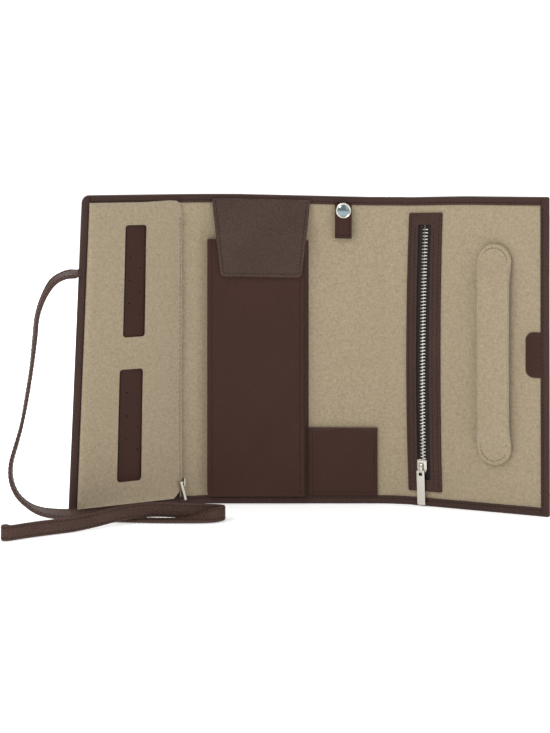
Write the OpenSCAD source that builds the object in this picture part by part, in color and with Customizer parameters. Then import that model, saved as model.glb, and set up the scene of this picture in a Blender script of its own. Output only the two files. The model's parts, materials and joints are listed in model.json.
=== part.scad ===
// Travel jewellery roll in leather, standing open on its long edge like a folding screen.
// Five panels joined by four folds, with pockets, two zips, a ring bar, an earring page and a tie strap.
// Seen from the front, which is -Y, the centre panel faces the viewer and both flaps turn in towards it.

/* [Case] */
// Height of the case, which stands on this edge's end
case_h = 200; // [170:1:240]
// Width of the centre panel between its two folds
centre_w = 117; // [112:1:150]
// Width of the spine between the centre and the left flap
left_spine_w = 16; // [12:0.5:22]
// Width of the left flap from its fold to its free edge
left_flap_w = 77; // [64:1:95]
// Width of the spine between the centre and the right flap
right_spine_w = 12; // [10:0.5:18]
// Width of the right flap from its fold to its free edge
right_flap_w = 97; // [94:1:120]
// Angle that each of the two left folds is turned in
left_fold = 17; // [0:0.25:30]
// Angle that each of the two right folds is turned in
right_fold = 13.25; // [0:0.25:30]
// Gap left between neighbouring panels at a fold
fold_gap = 0.6; // [0.4:0.1:1.2]

/* [Layers] */
// Thickness of the outer leather
leather_t = 1.0; // [0.8:0.1:1.6]
// Thickness of the stiffening board
board_t = 1.0; // [0.8:0.1:2]
// Thickness of the suede lining
lining_t = 0.8; // [0.6:0.1:1.2]
// Thickness of the leather where it is turned over the lining
turn_t = 0.8; // [0.6:0.1:1.2]
// Thickness of the leather round the edge of a panel
edge_t = 1.0; // [0.8:0.1:1.4]
// Width of the turned border
border_w = 5.5; // [4:0.1:8]
// Radius of the two outer corners of the left flap
corner_r = 5; // [2:0.5:10]

/* [Long pocket] */
// Distance from the left fold to the pocket
pocket_x = 0.6; // [0.4:0.1:3]
// Width of the pocket
pocket_w = 63.4; // [50:0.5:78]
// Distance from the top of the case to the mouth of the pocket
pocket_drop = 29; // [24:1:40]
// Clear depth inside the pocket
pocket_depth = 4.4; // [4.2:0.1:5]
// Thickness of the leather of the pocket's front
pocket_front_t = 1.2; // [1:0.1:1.6]
// Thickness of the pocket's side and bottom walls
gusset_t = 1.0; // [0.8:0.1:1.6]
// Height of the pocket's flap below its fold
flap_h = 46.5; // [40:0.5:60]
// Width of the flap at its fold
flap_top_w = 62; // [48:0.5:76]
// Width of the flap at its lower edge
flap_end_w = 50.4; // [40:0.5:62]
// Radius of the flap's lower corners
flap_r = 2.4; // [1:0.1:6]
// Thickness of the flap's leather
flap_t = 1.0; // [0.8:0.1:1.6]
// Thickness of the flap's suede backing
flap_back_t = 0.6; // [0.5:0.1:1]
// Distance from the top of the case to the flap's fold
flap_fold_drop = 6.6; // [6:0.1:10]
// Radius of each hidden magnet
magnet_r = 4.5; // [3:0.1:6]
// Thickness of each hidden magnet
magnet_t = 0.8; // [0.6:0.1:1]

/* [Patch pocket] */
// Width of the patch pocket
patch_w = 46.6; // [34:0.2:49]
// Height of the patch pocket above the border
patch_h = 44; // [30:0.5:60]
// Thickness of the patch pocket's leather
patch_t = 1.2; // [1:0.1:1.6]
// Slack between the patch pocket and the lining
patch_slack = 0.8; // [0.5:0.1:1.2]

/* [Snap tab] */
// Distance from the left fold to the middle of the tab
tab_x = 88.4; // [76:0.1:104]
// Width of the tab
tab_w = 10.8; // [9:0.1:14]
// Length of the tab below the border
tab_l = 22.9; // [18:0.1:30]
// Thickness of the tab's leather
tab_t = 1.2; // [0.8:0.1:1.4]
// Gap between the tab's two legs
tab_gap = 1.6; // [1.5:0.1:2]
// Distance from the bottom of the tab up to the press stud
snap_up = 18.2; // [13:0.1:20]
// Radius of the press stud's domed cap
snap_r = 4.9; // [4:0.1:6]
// Height of the domed cap
snap_h = 1.6; // [1.2:0.1:2.2]

/* [Earring page] */
// Thickness of the page
page_t = 1.2; // [1:0.1:1.6]
// Space behind the page
page_gap = 1.8; // [1.7:0.1:2.4]
// Distance from the fold to the page's free edge
page_edge = 1.0; // [0.9:0.1:2]
// Width of each window
window_w = 15.8; // [12:0.2:20]
// Height of each window
window_h = 71.4; // [50:0.2:72]
// Distance from the fold to the windows
window_x = 29; // [22:0.5:34]
// Distance from the bottom of the case to the lower window
window_z = 18; // [14:0.5:22]
// Distance from one window up to the next
window_gap = 20.4; // [8:0.2:24]
// Corner radius of a window
window_r = 2.5; // [1:0.1:4]
// Margin of the leather strip behind each window
strip_margin = 3; // [2:0.5:5]
// Thickness of each leather strip
strip_t = 1.0; // [0.8:0.1:1.2]
// Holes in each strip
hole_n = 6; // [2:1:8]
// Distance from each hole up to the next
hole_pitch = 7.3; // [5:0.1:9]
// Distance that each strip's holes are shifted towards the middle of the page
hole_shift = 3.2; // [0:0.1:6]
// Radius of an earring hole
hole_r = 0.7; // [0.5:0.1:1]

/* [Zip pocket] */
// Width of the leather frame round the zip
frame_w = 23.6; // [20:0.2:28]
// Distance from the fold to the frame
frame_x = 0.7; // [0.5:0.1:3]
// Distance from the top of the case to the frame
frame_drop = 11; // [8:0.5:16]
// Distance from the bottom of the case to the frame
frame_z = 8; // [8:0.5:14]
// Thickness of the frame's leather
frame_t = 1.2; // [0.8:0.1:1.6]
// Width of the opening in the frame
slot_w = 11.6; // [10:0.2:14]
// Width of the frame above and below its opening
slot_end = 8; // [6:0.5:12]
// Pitch of the zip's teeth
tooth_pitch = 2.1; // [1.8:0.1:2.6]
// Width of the closed row of teeth
chain_w = 4.2; // [3.6:0.1:5]
// Thickness of the teeth
chain_t = 1.4; // [1.2:0.1:1.6]
// Width of the slider
slider_w = 6.8; // [6:0.1:7.4]
// Length of the slider
slider_l = 9.4; // [8:0.1:11]
// Length of the puller
puller_l = 21; // [16:0.2:22.4]
// Width of the puller
puller_w = 5.8; // [4:0.1:7]
// Thickness of the puller
puller_t = 1.3; // [1:0.1:1.6]
// Width of the pocket bag behind the lining
bag_w = 78; // [60:1:80]

/* [Ring bar] */
// Distance from the fold to the middle of the bar
ring_x = 61.5; // [50:0.1:64]
// Distance from the bottom of the case to the bar
ring_z = 30.5; // [24:0.5:40]
// Distance from the top of the case to the bar
ring_drop = 30; // [24:0.5:40]
// Width of the bar's flat ends
ring_end_w = 22.6; // [18:0.2:26]
// Width of the padded middle
ring_w = 20.8; // [16:0.2:24]
// Thickness of the padded middle
ring_t = 6.4; // [5:0.1:6.8]
// Thickness of the flat ends
ring_end_t = 2.4; // [2:0.1:3]
// Length of each flat end
ring_end_l = 13.5; // [12:0.5:18]
// Length of the thin neck that the bar swings on
ring_neck = 4.5; // [4:0.5:8]

/* [Label tab] */
// Width of the blank tab at the right border
label_w = 9.6; // [7:0.1:13]
// Height of the tab
label_h = 28.4; // [20:0.2:36]
// Distance from the bottom of the case to the tab
label_z = 85.8; // [60:0.2:110]
// Thickness of the tab
label_t = 1.0; // [0.8:0.1:1.4]
// Radius of the tab's rounded corners
label_r = 4; // [2:0.5:6]

/* [Strap] */
// Width of the strap
strap_w = 9; // [7:0.5:12]
// Thickness of the strap
strap_t = 2; // [1.6:0.1:2.4]
// Length of the strap's tongue sewn inside the flap
anchor_l = 12; // [8:1:18]
// Width of the strap's tongue
anchor_w = 4.6; // [3:0.2:7]

/* [Hidden] */
$fn = 48;

leather = "#4a3431";
pebbled = "#574541";
suede = "#a5967a";
board_grey = "#8d8a84";
nickel = "#bdb8ad";
tape_black = "#2a2422";

// The front of the turned border is y = 0 on every panel, and the layers lie behind it
lining_y = turn_t;
board_y = lining_y + lining_t;
skin_y = board_y + board_t;
stack_t = skin_y + leather_t;
touch = 0.02;
half_gap = fold_gap / 2;

// Where each fold stands, before the case is centred
left_hinge = [-left_spine_w * cos(left_fold), -left_spine_w * sin(left_fold)];
right_hinge = [centre_w + right_spine_w * cos(right_fold), -right_spine_w * sin(right_fold)];
left_turn = 2 * left_fold;
right_turn = 2 * right_fold;
left_edge = left_hinge - left_flap_w * [cos(left_turn), sin(left_turn)];
right_edge = right_hinge + right_flap_w * [cos(right_turn), -sin(right_turn)];
min_x = left_edge.x - stack_t * sin(left_turn);
max_x = right_edge.x + stack_t * sin(right_turn);
min_y = min(left_edge.y, right_edge.y);
centre_at = [(min_x + max_x) / 2, (min_y + stack_t) / 2];

module placed() { translate([-centre_at.x, -centre_at.y, 0]) children(); }
module on_centre() { placed() children(); }
module on_left_spine() { placed() rotate([0, 0, left_fold]) children(); }
module on_left_flap() { placed() translate([left_hinge.x, left_hinge.y, 0]) rotate([0, 0, left_turn]) children(); }
module on_right_spine() { placed() translate([centre_w, 0, 0]) rotate([0, 0, -right_fold]) children(); }
module on_right_flap() { placed() translate([right_hinge.x, right_hinge.y, 0]) rotate([0, 0, -right_turn]) children(); }

// A flat shape drawn in x and z, filling y from y0 back to y1
module slab(y0, y1) { translate([0, y1, 0]) rotate([90, 0, 0]) linear_extrude(y1 - y0) children(); }
module box(low, high) { translate(low) cube(high - low); }
// A disc facing the viewer
module disc(x, z, y0, y1, r) { translate([x, y1, z]) rotate([90, 0, 0]) cylinder(r = r, h = y1 - y0); }

// A rectangle whose left and right corners may be rounded apart
module face(x0, z0, x1, z1, left_r = 0, right_r = 0) {
    translate([x0 + left_r, z0]) square([x1 - x0 - left_r - right_r, z1 - z0]);
    if (left_r > 0) {
        translate([x0, z0 + left_r]) square([left_r, z1 - z0 - 2 * left_r]);
        for (z = [z0 + left_r, z1 - left_r]) translate([x0 + left_r, z]) circle(left_r);
    }
    if (right_r > 0) {
        translate([x1 - right_r, z0 + right_r]) square([right_r, z1 - z0 - 2 * right_r]);
        for (z = [z0 + right_r, z1 - right_r]) translate([x1 - right_r, z]) circle(right_r);
    }
}

// ---- Panels -------------------------------------------------------------------------------
// Each panel is an outer leather skin turned over its edges, a board and a lining.
// left_e and right_e say whether that side is a free edge, which the leather also wraps.

function inset(side, by) = side ? by : 0;

module panel_shell(x0, x1, left_e, right_e, r = 0) {
    color(leather) difference() {
        slab(0, stack_t) face(x0, 0, x1, case_h, r);
        slab(lining_y, skin_y)
            face(x0 + inset(left_e, edge_t) - inset(!left_e, 1), edge_t,
                 x1 - inset(right_e, edge_t) + inset(!right_e, 1), case_h - edge_t,
                 max(r - edge_t, 0));
        box([x0 + inset(left_e, border_w) - inset(!left_e, 1), -1, border_w],
            [x1 - inset(right_e, border_w) + inset(!right_e, 1), lining_y + touch, case_h - border_w]);
    }
}

module panel_board(x0, x1, left_e, right_e, r = 0) {
    slab(board_y, skin_y)
        face(x0 + inset(left_e, edge_t), edge_t, x1 - inset(right_e, edge_t), case_h - edge_t, max(r - edge_t, 0));
}

module panel_lining(x0, x1, left_e, right_e, r = 0) {
    slab(lining_y, board_y)
        face(x0 + inset(left_e, edge_t), edge_t, x1 - inset(right_e, edge_t), case_h - edge_t, max(r - edge_t, 0));
}

module centre_shell() { on_centre() panel_shell(half_gap, centre_w - half_gap, false, false); }
module centre_board() { color(board_grey) on_centre() panel_board(half_gap, centre_w - half_gap, false, false); }
module centre_lining() { color(suede) on_centre() panel_lining(half_gap, centre_w - half_gap, false, false); }

module left_spine_shell() { on_left_spine() panel_shell(half_gap - left_spine_w, -half_gap, false, false); }
module left_spine_board() {
    color(board_grey) on_left_spine() panel_board(half_gap - left_spine_w, -half_gap, false, false);
}
module left_spine_lining() {
    color(suede) on_left_spine() panel_lining(half_gap - left_spine_w, -half_gap, false, false);
}

module right_spine_shell() { on_right_spine() panel_shell(half_gap, right_spine_w - half_gap, false, false); }
module right_spine_board() {
    color(board_grey) on_right_spine() panel_board(half_gap, right_spine_w - half_gap, false, false);
}
module right_spine_lining() {
    color(suede) on_right_spine() panel_lining(half_gap, right_spine_w - half_gap, false, false);
}

// The strap's end leaves the left flap through a slit in its turned edge
strap_z = 152;
anchor_out = 0.4;
slit_fit = 0.1;
anchor_y = [stack_t / 2 - strap_t / 2, stack_t / 2 + strap_t / 2];

module anchor_space(fit) {
    box([-left_flap_w - anchor_out - fit, anchor_y[0] - fit, strap_z - anchor_w / 2 - fit],
        [-left_flap_w + anchor_l + fit, anchor_y[1] + fit, strap_z + anchor_w / 2 + fit]);
}

module left_flap_shell() {
    color(leather) on_left_flap() difference() {
        panel_shell(-left_flap_w, -half_gap, true, false, corner_r);
        anchor_space(slit_fit);
    }
}
module left_flap_board() {
    color(board_grey) on_left_flap() difference() {
        panel_board(-left_flap_w, -half_gap, true, false, corner_r);
        anchor_space(slit_fit);
    }
}
module left_flap_lining() {
    color(suede) on_left_flap() difference() {
        panel_lining(-left_flap_w, -half_gap, true, false, corner_r);
        anchor_space(slit_fit);
    }
}
module strap_anchor() { color(leather) on_left_flap() anchor_space(0); }

// The right flap's board is thinned for the zip pocket's bag, and its lining is cut for the zip
bag_t = 0.4;
bag_x = 2;
bag_z = 24;
bag_drop = 9;
bag_size = [bag_x, frame_z + slot_end - bag_x, case_h - bag_drop];
slot_z = [frame_z + slot_end, case_h - frame_drop - slot_end];
chain_off = 1.1;
chain_x = frame_x + frame_w / 2 - chain_off;
slot_off = 0.1;
slot_x = [frame_x + frame_w / 2 + slot_off - slot_w / 2, frame_x + frame_w / 2 + slot_off + slot_w / 2];
tape_lap = 1.5;

module bag_space() {
    box([bag_x, board_y, bag_size[1]], [bag_x + bag_w, board_y + bag_t, bag_size[2]]);
}
module right_flap_shell() { on_right_flap() panel_shell(half_gap, right_flap_w, false, true); }
module right_flap_board() {
    color(board_grey) on_right_flap() difference() {
        panel_board(half_gap, right_flap_w, false, true);
        translate([0, -touch, 0]) bag_space();
        bag_space();
    }
}
module right_flap_lining() {
    color(suede) on_right_flap() difference() {
        panel_lining(half_gap, right_flap_w, false, true);
        box([slot_x[0] - tape_lap, 0, slot_z[0] - tape_lap], [slot_x[1] + tape_lap, board_y + 1, slot_z[1] + tape_lap]);
    }
}
module zip_pocket_bag() { color(suede) on_right_flap() bag_space(); }

// ---- Long pocket with its flap --------------------------------------------------------------
pocket_z = border_w + 0.1;
pocket_top = case_h - pocket_drop;
pocket_front_y = lining_y - pocket_depth;
front_y = pocket_front_y - pocket_front_t;
flap_fold_z = case_h - flap_fold_drop;
flap_off = 2.3;
flap_mid = pocket_x + pocket_w / 2 + flap_off;
flap_clear = 0.4;
flap_root_r = 0.8;
flap_root_fit = 0.1;
flap_root_end = 1;
flap_root_up = 0.2;
flap_fold_y = -flap_root_r - flap_root_fit;
flap_knee_up = 1;
knee_rise = 0.25;
flap_reach = [-30, 5];
magnet_up = 9;
magnet_z = flap_fold_z - flap_h + magnet_up;

module pocket_front() {
    color(leather) on_centre() difference() {
        slab(front_y, pocket_front_y) face(pocket_x, pocket_z, pocket_x + pocket_w, pocket_top);
        disc(flap_mid, magnet_z, pocket_front_y - magnet_t, pocket_front_y + 1, magnet_r);
    }
}
module pocket_magnet() {
    color(nickel) on_centre() disc(flap_mid, magnet_z, pocket_front_y - magnet_t, pocket_front_y, magnet_r);
}
module pocket_gusset() {
    color(leather) on_centre() slab(pocket_front_y, lining_y) difference() {
        face(pocket_x, pocket_z, pocket_x + pocket_w, pocket_top);
        translate([pocket_x + gusset_t, pocket_z + gusset_t])
            square([pocket_w - 2 * gusset_t, pocket_top - pocket_z]);
    }
}

// Side view of one layer of the flap: a rolled root at the fold, a slope, then flat over the pocket
function flap_line(depth) =
    [[flap_fold_y - depth, flap_fold_z], [front_y - flap_clear - depth, pocket_top + flap_knee_up + knee_rise * depth],
     [front_y - flap_clear - depth, flap_fold_z - flap_h]];
module flap_layer(inner, t) {
    inside = flap_line(inner);
    outside = flap_line(inner + t);
    rotate([90, 0, 90]) linear_extrude(centre_w)
        polygon([inside[0], inside[1], inside[2], outside[2], outside[1], outside[0]]);
}
// The flap's outline from the front
module flap_outline() {
    low = flap_fold_z - flap_h;
    half = flap_end_w / 2;
    slope = (flap_top_w - flap_end_w) / 2 / flap_h;
    translate([flap_mid, 0]) {
        polygon([[-flap_top_w / 2, flap_fold_z + 1], [flap_top_w / 2, flap_fold_z + 1],
                 [half + slope * flap_r, low + flap_r], [half - flap_r, low + flap_r],
                 [flap_r - half, low + flap_r], [-half - slope * flap_r, low + flap_r]]);
        translate([flap_r - half, low]) square([flap_end_w - 2 * flap_r, flap_r + touch]);
        for (side = [-1, 1]) translate([side * (half - flap_r), low + flap_r]) circle(flap_r);
    }
}
module magnet_in_flap() {
    disc(flap_mid, magnet_z, front_y - flap_clear - flap_back_t / 2 - magnet_t,
         front_y - flap_clear - flap_back_t / 2, magnet_r);
}
module pocket_flap() {
    color(pebbled) on_centre() {
        difference() {
            intersection() {
                flap_layer(flap_back_t, flap_t);
                slab(flap_reach[0], flap_reach[1]) flap_outline();
            }
            magnet_in_flap();
            flap_root(touch);
        }
        flap_root(0);
    }
}
// The rolled edge that the flap turns on
module flap_root(grow) {
    translate([flap_mid - flap_top_w / 2 + flap_root_end, flap_fold_y, flap_fold_z + flap_root_up])
        rotate([0, 90, 0]) cylinder(r = flap_root_r + grow, h = flap_top_w - 2 * flap_root_end);
}
module pocket_flap_backing() {
    color(suede) on_centre() difference() {
        intersection() {
            flap_layer(0, flap_back_t);
            slab(flap_reach[0], flap_reach[1]) flap_outline();
        }
        magnet_in_flap();
        box([0, -30, flap_fold_z - flap_root_r], [centre_w, 5, case_h]);
    }
}
module flap_magnet() { color(nickel) on_centre() magnet_in_flap(); }

// ---- Patch pocket ------------------------------------------------------------------------------
patch_x = pocket_x + pocket_w + 0.2;
patch_hem = 1.6;
module patch_pocket() {
    front = lining_y - patch_slack - patch_t;
    color(leather) on_centre() {
        slab(front, lining_y - patch_slack) face(patch_x, pocket_z, patch_x + patch_w, pocket_z + patch_h);
        slab(lining_y - patch_slack, lining_y) difference() {
            face(patch_x, pocket_z, patch_x + patch_w, pocket_z + patch_h);
            translate([patch_x + patch_hem, pocket_z + patch_hem])
                square([patch_w - 2 * patch_hem, patch_h]);
        }
    }
}

// ---- Snap tab: a leather loop folded at its bottom and closed by a press stud ------------------
tab_bottom = case_h - border_w - tab_l;
back_front_y = lining_y - tab_t;
leg_back_y = back_front_y - tab_gap;
leg_front_y = leg_back_y - tab_t;
fold_r = tab_gap / 2 + tab_t;
tab_fold_z = tab_bottom + fold_r;
snap_z = tab_bottom + snap_up;
// Press studs: a stud on a round base, and a socket ring that it snaps into
stud_r = 1.6;
stud_fit = 0.2;
stud_base = 0.4;
stud_base_r = 3.4;
stud_l = 1.3;
socket_r = 3.6;
socket_t = 1.4;
socket_in = 0.5;

cap_bead = 0.6;
dome_r = 2.4 * snap_r;
rivet_fit = 0.05;
rivet_play = 0.1;

module snap_tab_back() {
    color(leather) on_centre() {
        slab(back_front_y, lining_y) face(tab_x - tab_w / 2, tab_fold_z, tab_x + tab_w / 2, case_h - border_w);
        translate([tab_x - tab_w / 2, back_front_y - tab_gap / 2, tab_fold_z]) rotate([90, 0, 90])
            linear_extrude(tab_w) difference() {
                circle(fold_r);
                circle(tab_gap / 2);
                translate([-2 * fold_r, 0]) square([4 * fold_r, 2 * fold_r]);
            }
    }
}
module snap_tab_front() {
    color(leather) on_centre() difference() {
        slab(leg_front_y, leg_back_y)
            face(tab_x - tab_w / 2, tab_fold_z + touch, tab_x + tab_w / 2, case_h - border_w - 0.6);
        disc(tab_x, snap_z, leg_front_y - 1, leg_back_y + 1, stud_r);
    }
}
module snap_stud() {
    color(nickel) on_centre() {
        disc(tab_x, snap_z, back_front_y - stud_base, back_front_y, stud_base_r);
        disc(tab_x, snap_z, back_front_y - stud_l, back_front_y - stud_base + touch, stud_r - stud_fit);
    }
}
module snap_socket() {
    color(nickel) on_centre() difference() {
        disc(tab_x, snap_z, leg_back_y, leg_back_y + socket_t / 2, socket_r);
        disc(tab_x, snap_z, leg_back_y - 1, leg_back_y + 2, stud_r + rivet_play);
    }
}
// Domed cap with a raised rim, and the rivet that holds it through the leg
module snap_cap() {
    color(nickel) on_centre() translate([tab_x, leg_front_y, snap_z]) rotate([90, 0, 0]) {
        rotate_extrude() {
            square([snap_r, cap_bead]);
            translate([snap_r - cap_bead, cap_bead]) circle(cap_bead);
            intersection() {
                translate([0, snap_h - dome_r]) circle(dome_r, $fn = 96);
                square([snap_r - cap_bead, snap_h]);
            }
        }
        translate([0, 0, -tab_t]) cylinder(r = stud_r - rivet_fit, h = tab_t + touch);
    }
}

// ---- Earring page on the left flap --------------------------------------------------------------
page_back_y = lining_y - page_gap;
page_front_y = page_back_y - page_t;
page_x = [-left_flap_w + border_w + 0.2, -page_edge];
page_z = [border_w + 0.2, case_h - border_w - 0.2];
page_rim = 2.6;
notch = [5.5, 8.5];

module window(n, grow, r) {
    z = window_z + n * (window_h + window_gap);
    face(-window_x - window_w - grow, z - grow, -window_x + grow, z + window_h + grow, r, r);
}
module page_face() {
    difference() {
        face(page_x[0], page_z[0], page_x[1], page_z[1]);
        polygon([[page_x[1] - notch.x, page_z[0] - 1], [page_x[1] - notch.x, page_z[0]],
                 [page_x[1], page_z[0] + notch.y], [page_x[1] + 1, page_z[0] + notch.y],
                 [page_x[1] + 1, page_z[0] - 1]]);
    }
}
module earring_page() {
    color(suede) on_left_flap() {
        slab(page_front_y, page_back_y) difference() {
            page_face();
            for (n = [0, 1]) window(n, 0, window_r);
        }
        slab(page_back_y - touch, lining_y) {
            face(page_x[0], page_z[0], page_x[0] + page_rim, page_z[1]);
            face(page_x[0], page_z[1] - page_rim, page_x[1] - 6, page_z[1]);
            face(page_x[0], page_z[0], page_x[1] - notch.x - 1, page_z[0] + page_rim);
        }
    }
}
// Holes in a zigzag, as earring posts go through them in pairs
module earring_strip(n) {
    z = window_z + n * (window_h + window_gap) + window_h / 2 + (n == 0 ? hole_shift : -hole_shift);
    color(leather) on_left_flap() difference() {
        slab(page_back_y, page_back_y + strip_t) window(n, strip_margin, 1);
        for (k = [0:hole_n - 1])
            disc(-window_x - window_w / 2 + (k % 2 == 0 ? 1 : -1) * window_w / 4,
                 z + (k - (hole_n - 1) / 2) * hole_pitch, page_back_y - 1, page_back_y + strip_t + 1, hole_r);
    }
}
module earring_strip_lower() { earring_strip(0); }
module earring_strip_upper() { earring_strip(1); }

// Concealed zip along the page's free edge: tape, coil, slider and a narrow bar puller
page_zip_in = 2.2;
page_zip_x = -page_edge - page_zip_in;
coil_t = 0.5;
coil_w = 1.6;
page_tape_w = 3.2;
page_slider_fit = 0.15;
page_slider_w = 2.8;
neck_x = -0.2;
page_tape_t = 0.3;
page_slider_z = 13;
page_slider_l = 5;
page_pin_z = page_slider_z + 2.4;
page_pin_r = 0.4;
page_pin_fit = 0.1;
page_pin_y = page_front_y - 1.3;
page_pin_over = 1.4;
bar_tilt = 16;
bar_l = 11.5;
bar_x = page_zip_x - 0.6;
bar_y = [page_front_y - 3.3, page_front_y - 0.5];
bar_t = 1.5;
bar_top = 0.9;

module page_zip_tape() {
    color(tape_black) on_left_flap()
        box([page_zip_x - page_tape_w / 2, lining_y - page_tape_t, page_z[0]],
            [page_zip_x + page_tape_w / 2, lining_y, page_z[1]]);
}
module page_zip_coil() {
    color(tape_black) on_left_flap()
        box([page_zip_x - coil_w / 2, lining_y - page_tape_t - coil_t, page_z[0] + 1],
            [page_zip_x + coil_w / 2, lining_y - page_tape_t, page_z[1] - 1]);
}
module page_zip_slider() {
    top = lining_y - page_tape_t - coil_t - page_slider_fit;
    neck = [-page_edge + page_slider_fit, neck_x];
    color(nickel) on_left_flap() {
        box([page_zip_x - page_slider_w / 2, page_back_y + page_slider_fit, page_slider_z],
            [neck[1], top, page_slider_z + page_slider_l]);
        box([neck[0], page_pin_y - page_pin_r - page_pin_fit, page_slider_z],
            [neck[1], top, page_slider_z + page_slider_l]);
        // Pin in front of the page that the puller turns on
        translate([bar_x - page_pin_over, page_pin_y, page_pin_z]) rotate([0, 90, 0])
            cylinder(r = page_pin_r, h = neck[1] - bar_x + page_pin_over);
    }
}
module page_zip_puller() {
    color(nickel) on_left_flap() difference() {
        translate([bar_x, 0, page_pin_z]) rotate([0, -bar_tilt, 0])
            box([-bar_t / 2, bar_y[0], -bar_l], [bar_t / 2, bar_y[1], bar_top]);
        translate([bar_x - bar_t, page_pin_y, page_pin_z]) rotate([0, 90, 0])
            cylinder(r = page_pin_r + page_pin_fit, h = 2 * bar_t);
    }
}

// ---- Zip pocket on the right flap ------------------------------------------------------------------
frame_y = lining_y - frame_t;
tape_t = 0.5;
tape_y = lining_y;
chain_sink = 0.1;
chain_y = [tape_y - chain_t / 2 - chain_sink, tape_y + tape_t / 2 + chain_t / 2 - chain_sink];
tooth_l = 1.15;
stop_up = 2.6;
stop_pitch = 1.2;
stop_l = 1;
stop_t = 0.8;
stop_w = 2.6;
bead_x = 0.95;
stop_z = slot_z[0] + stop_up;
teeth_n = floor((slot_z[1] - stop_z - 1) / tooth_pitch);
slider_clear = 0.25;
slider_z = stop_z + 1.2;
slider_front_y = tape_y - chain_t / 2 - chain_sink - slider_clear;
plate_t = 0.9;
pin_r = 0.65;
pin_fit = 0.1;
pin_y = slider_front_y - plate_t - 1;
arch_w = 2.2;
arch_low = 0.2;
arch_bar = 0.8;
arch_l = 7.2;
pin_z = slider_z + arch_low + arch_bar + pin_r + pin_fit;
eye = 2.8;

module zip_frame() {
    color(leather) on_right_flap() slab(frame_y, lining_y) difference() {
        face(frame_x, frame_z, frame_x + frame_w, case_h - frame_drop);
        face(slot_x[0], slot_z[0], slot_x[1], slot_z[1], 1, 1);
    }
}
// Two tapes, meeting under the teeth
module zip_tape() {
    color(tape_black) on_right_flap() {
        box([slot_x[0] - tape_lap, tape_y, slot_z[0] - tape_lap],
            [chain_x - 0.9, tape_y + tape_t, slot_z[1] + tape_lap]);
        box([chain_x + 0.9, tape_y, slot_z[0] - tape_lap],
            [slot_x[1] + tape_lap, tape_y + tape_t, slot_z[1] + tape_lap]);
    }
}
// One side's teeth along their bead; the other side's stand half a pitch higher
module zip_row(side) {
    low = stop_z + 0.5 + (side > 0 ? tooth_pitch / 2 : 0);
    top = stop_z + teeth_n * tooth_pitch;
    color(nickel) on_right_flap() translate([chain_x, 0, 0]) scale([side, 1, 1]) {
        box([0.9 + touch, tape_y - chain_t / 2, stop_z], [chain_w / 2 - 0.3, tape_y - touch, top]);
        for (k = [0:teeth_n - 2])
            box([-0.75, tape_y - chain_t / 2 - 0.1, low + k * tooth_pitch],
                [chain_w / 2, tape_y - touch, low + k * tooth_pitch + tooth_l - 0.3]);
    }
}
module zip_teeth_left() { zip_row(-1); }
module zip_teeth_right() { zip_row(1); }
module zip_stops() {
    color(nickel) on_right_flap()
        for (n = [1, 2])
            box([chain_x + bead_x, tape_y - stop_t, stop_z - n * stop_pitch],
                [chain_x + stop_w, tape_y - touch, stop_z + stop_l - n * stop_pitch]);
}
// The slider's front plate, its two flanges and the arch that carries the puller
module zip_slider() {
    half = slider_w / 2;
    plate_y = slider_front_y - plate_t;
    color(nickel) on_right_flap() translate([chain_x, 0, slider_z]) {
        slab(plate_y, slider_front_y) polygon([
            [-half + 1.2, 0], [half - 1.2, 0], [half, 3], [half, slider_l], [-half, slider_l], [-half, 3]]);
        for (side = [-1, 1])
            box([side > 0 ? half - 0.9 : -half, slider_front_y - touch, 3],
                [side > 0 ? half : -half + 0.9, tape_y - 0.15, slider_l]);
        difference() {
            box([-arch_w / 2, pin_y - 2, arch_low], [arch_w / 2, plate_y + touch, arch_low + arch_l]);
            box([-arch_w, pin_y - 1.1, arch_low + arch_bar],
                [arch_w, plate_y - 0.1, arch_low + arch_l - arch_bar]);
        }
    }
}
// A plate with a square hole; the round bar above the hole turns inside the slider's arch
module zip_puller() {
    low = pin_z - puller_l;
    color(nickel) on_right_flap() {
        difference() {
            slab(pin_y - puller_t / 2, pin_y + puller_t / 2)
                face(chain_x - puller_w / 2, low, chain_x + puller_w / 2, pin_z + pin_r - 0.1, 0.8, 0.8);
            box([chain_x - eye / 2, pin_y - 3, pin_z - eye], [chain_x + eye / 2, pin_y + 3, pin_z + 3]);
        }
        translate([chain_x - puller_w / 2 + 0.4, pin_y, pin_z]) rotate([0, 90, 0])
            cylinder(r = pin_r, h = puller_w - 0.8);
    }
}

// ---- Ring bar on the right flap ----------------------------------------------------------------------
ring_back_y = lining_y - 1.6;
ring_top = case_h - ring_drop;
ring_fold_z = ring_top - ring_end_l;
ring_low = ring_z + ring_end_l;
ring_front_y = ring_back_y - ring_end_t;
ring_snap_z = ring_z + ring_end_w / 2;

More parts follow.
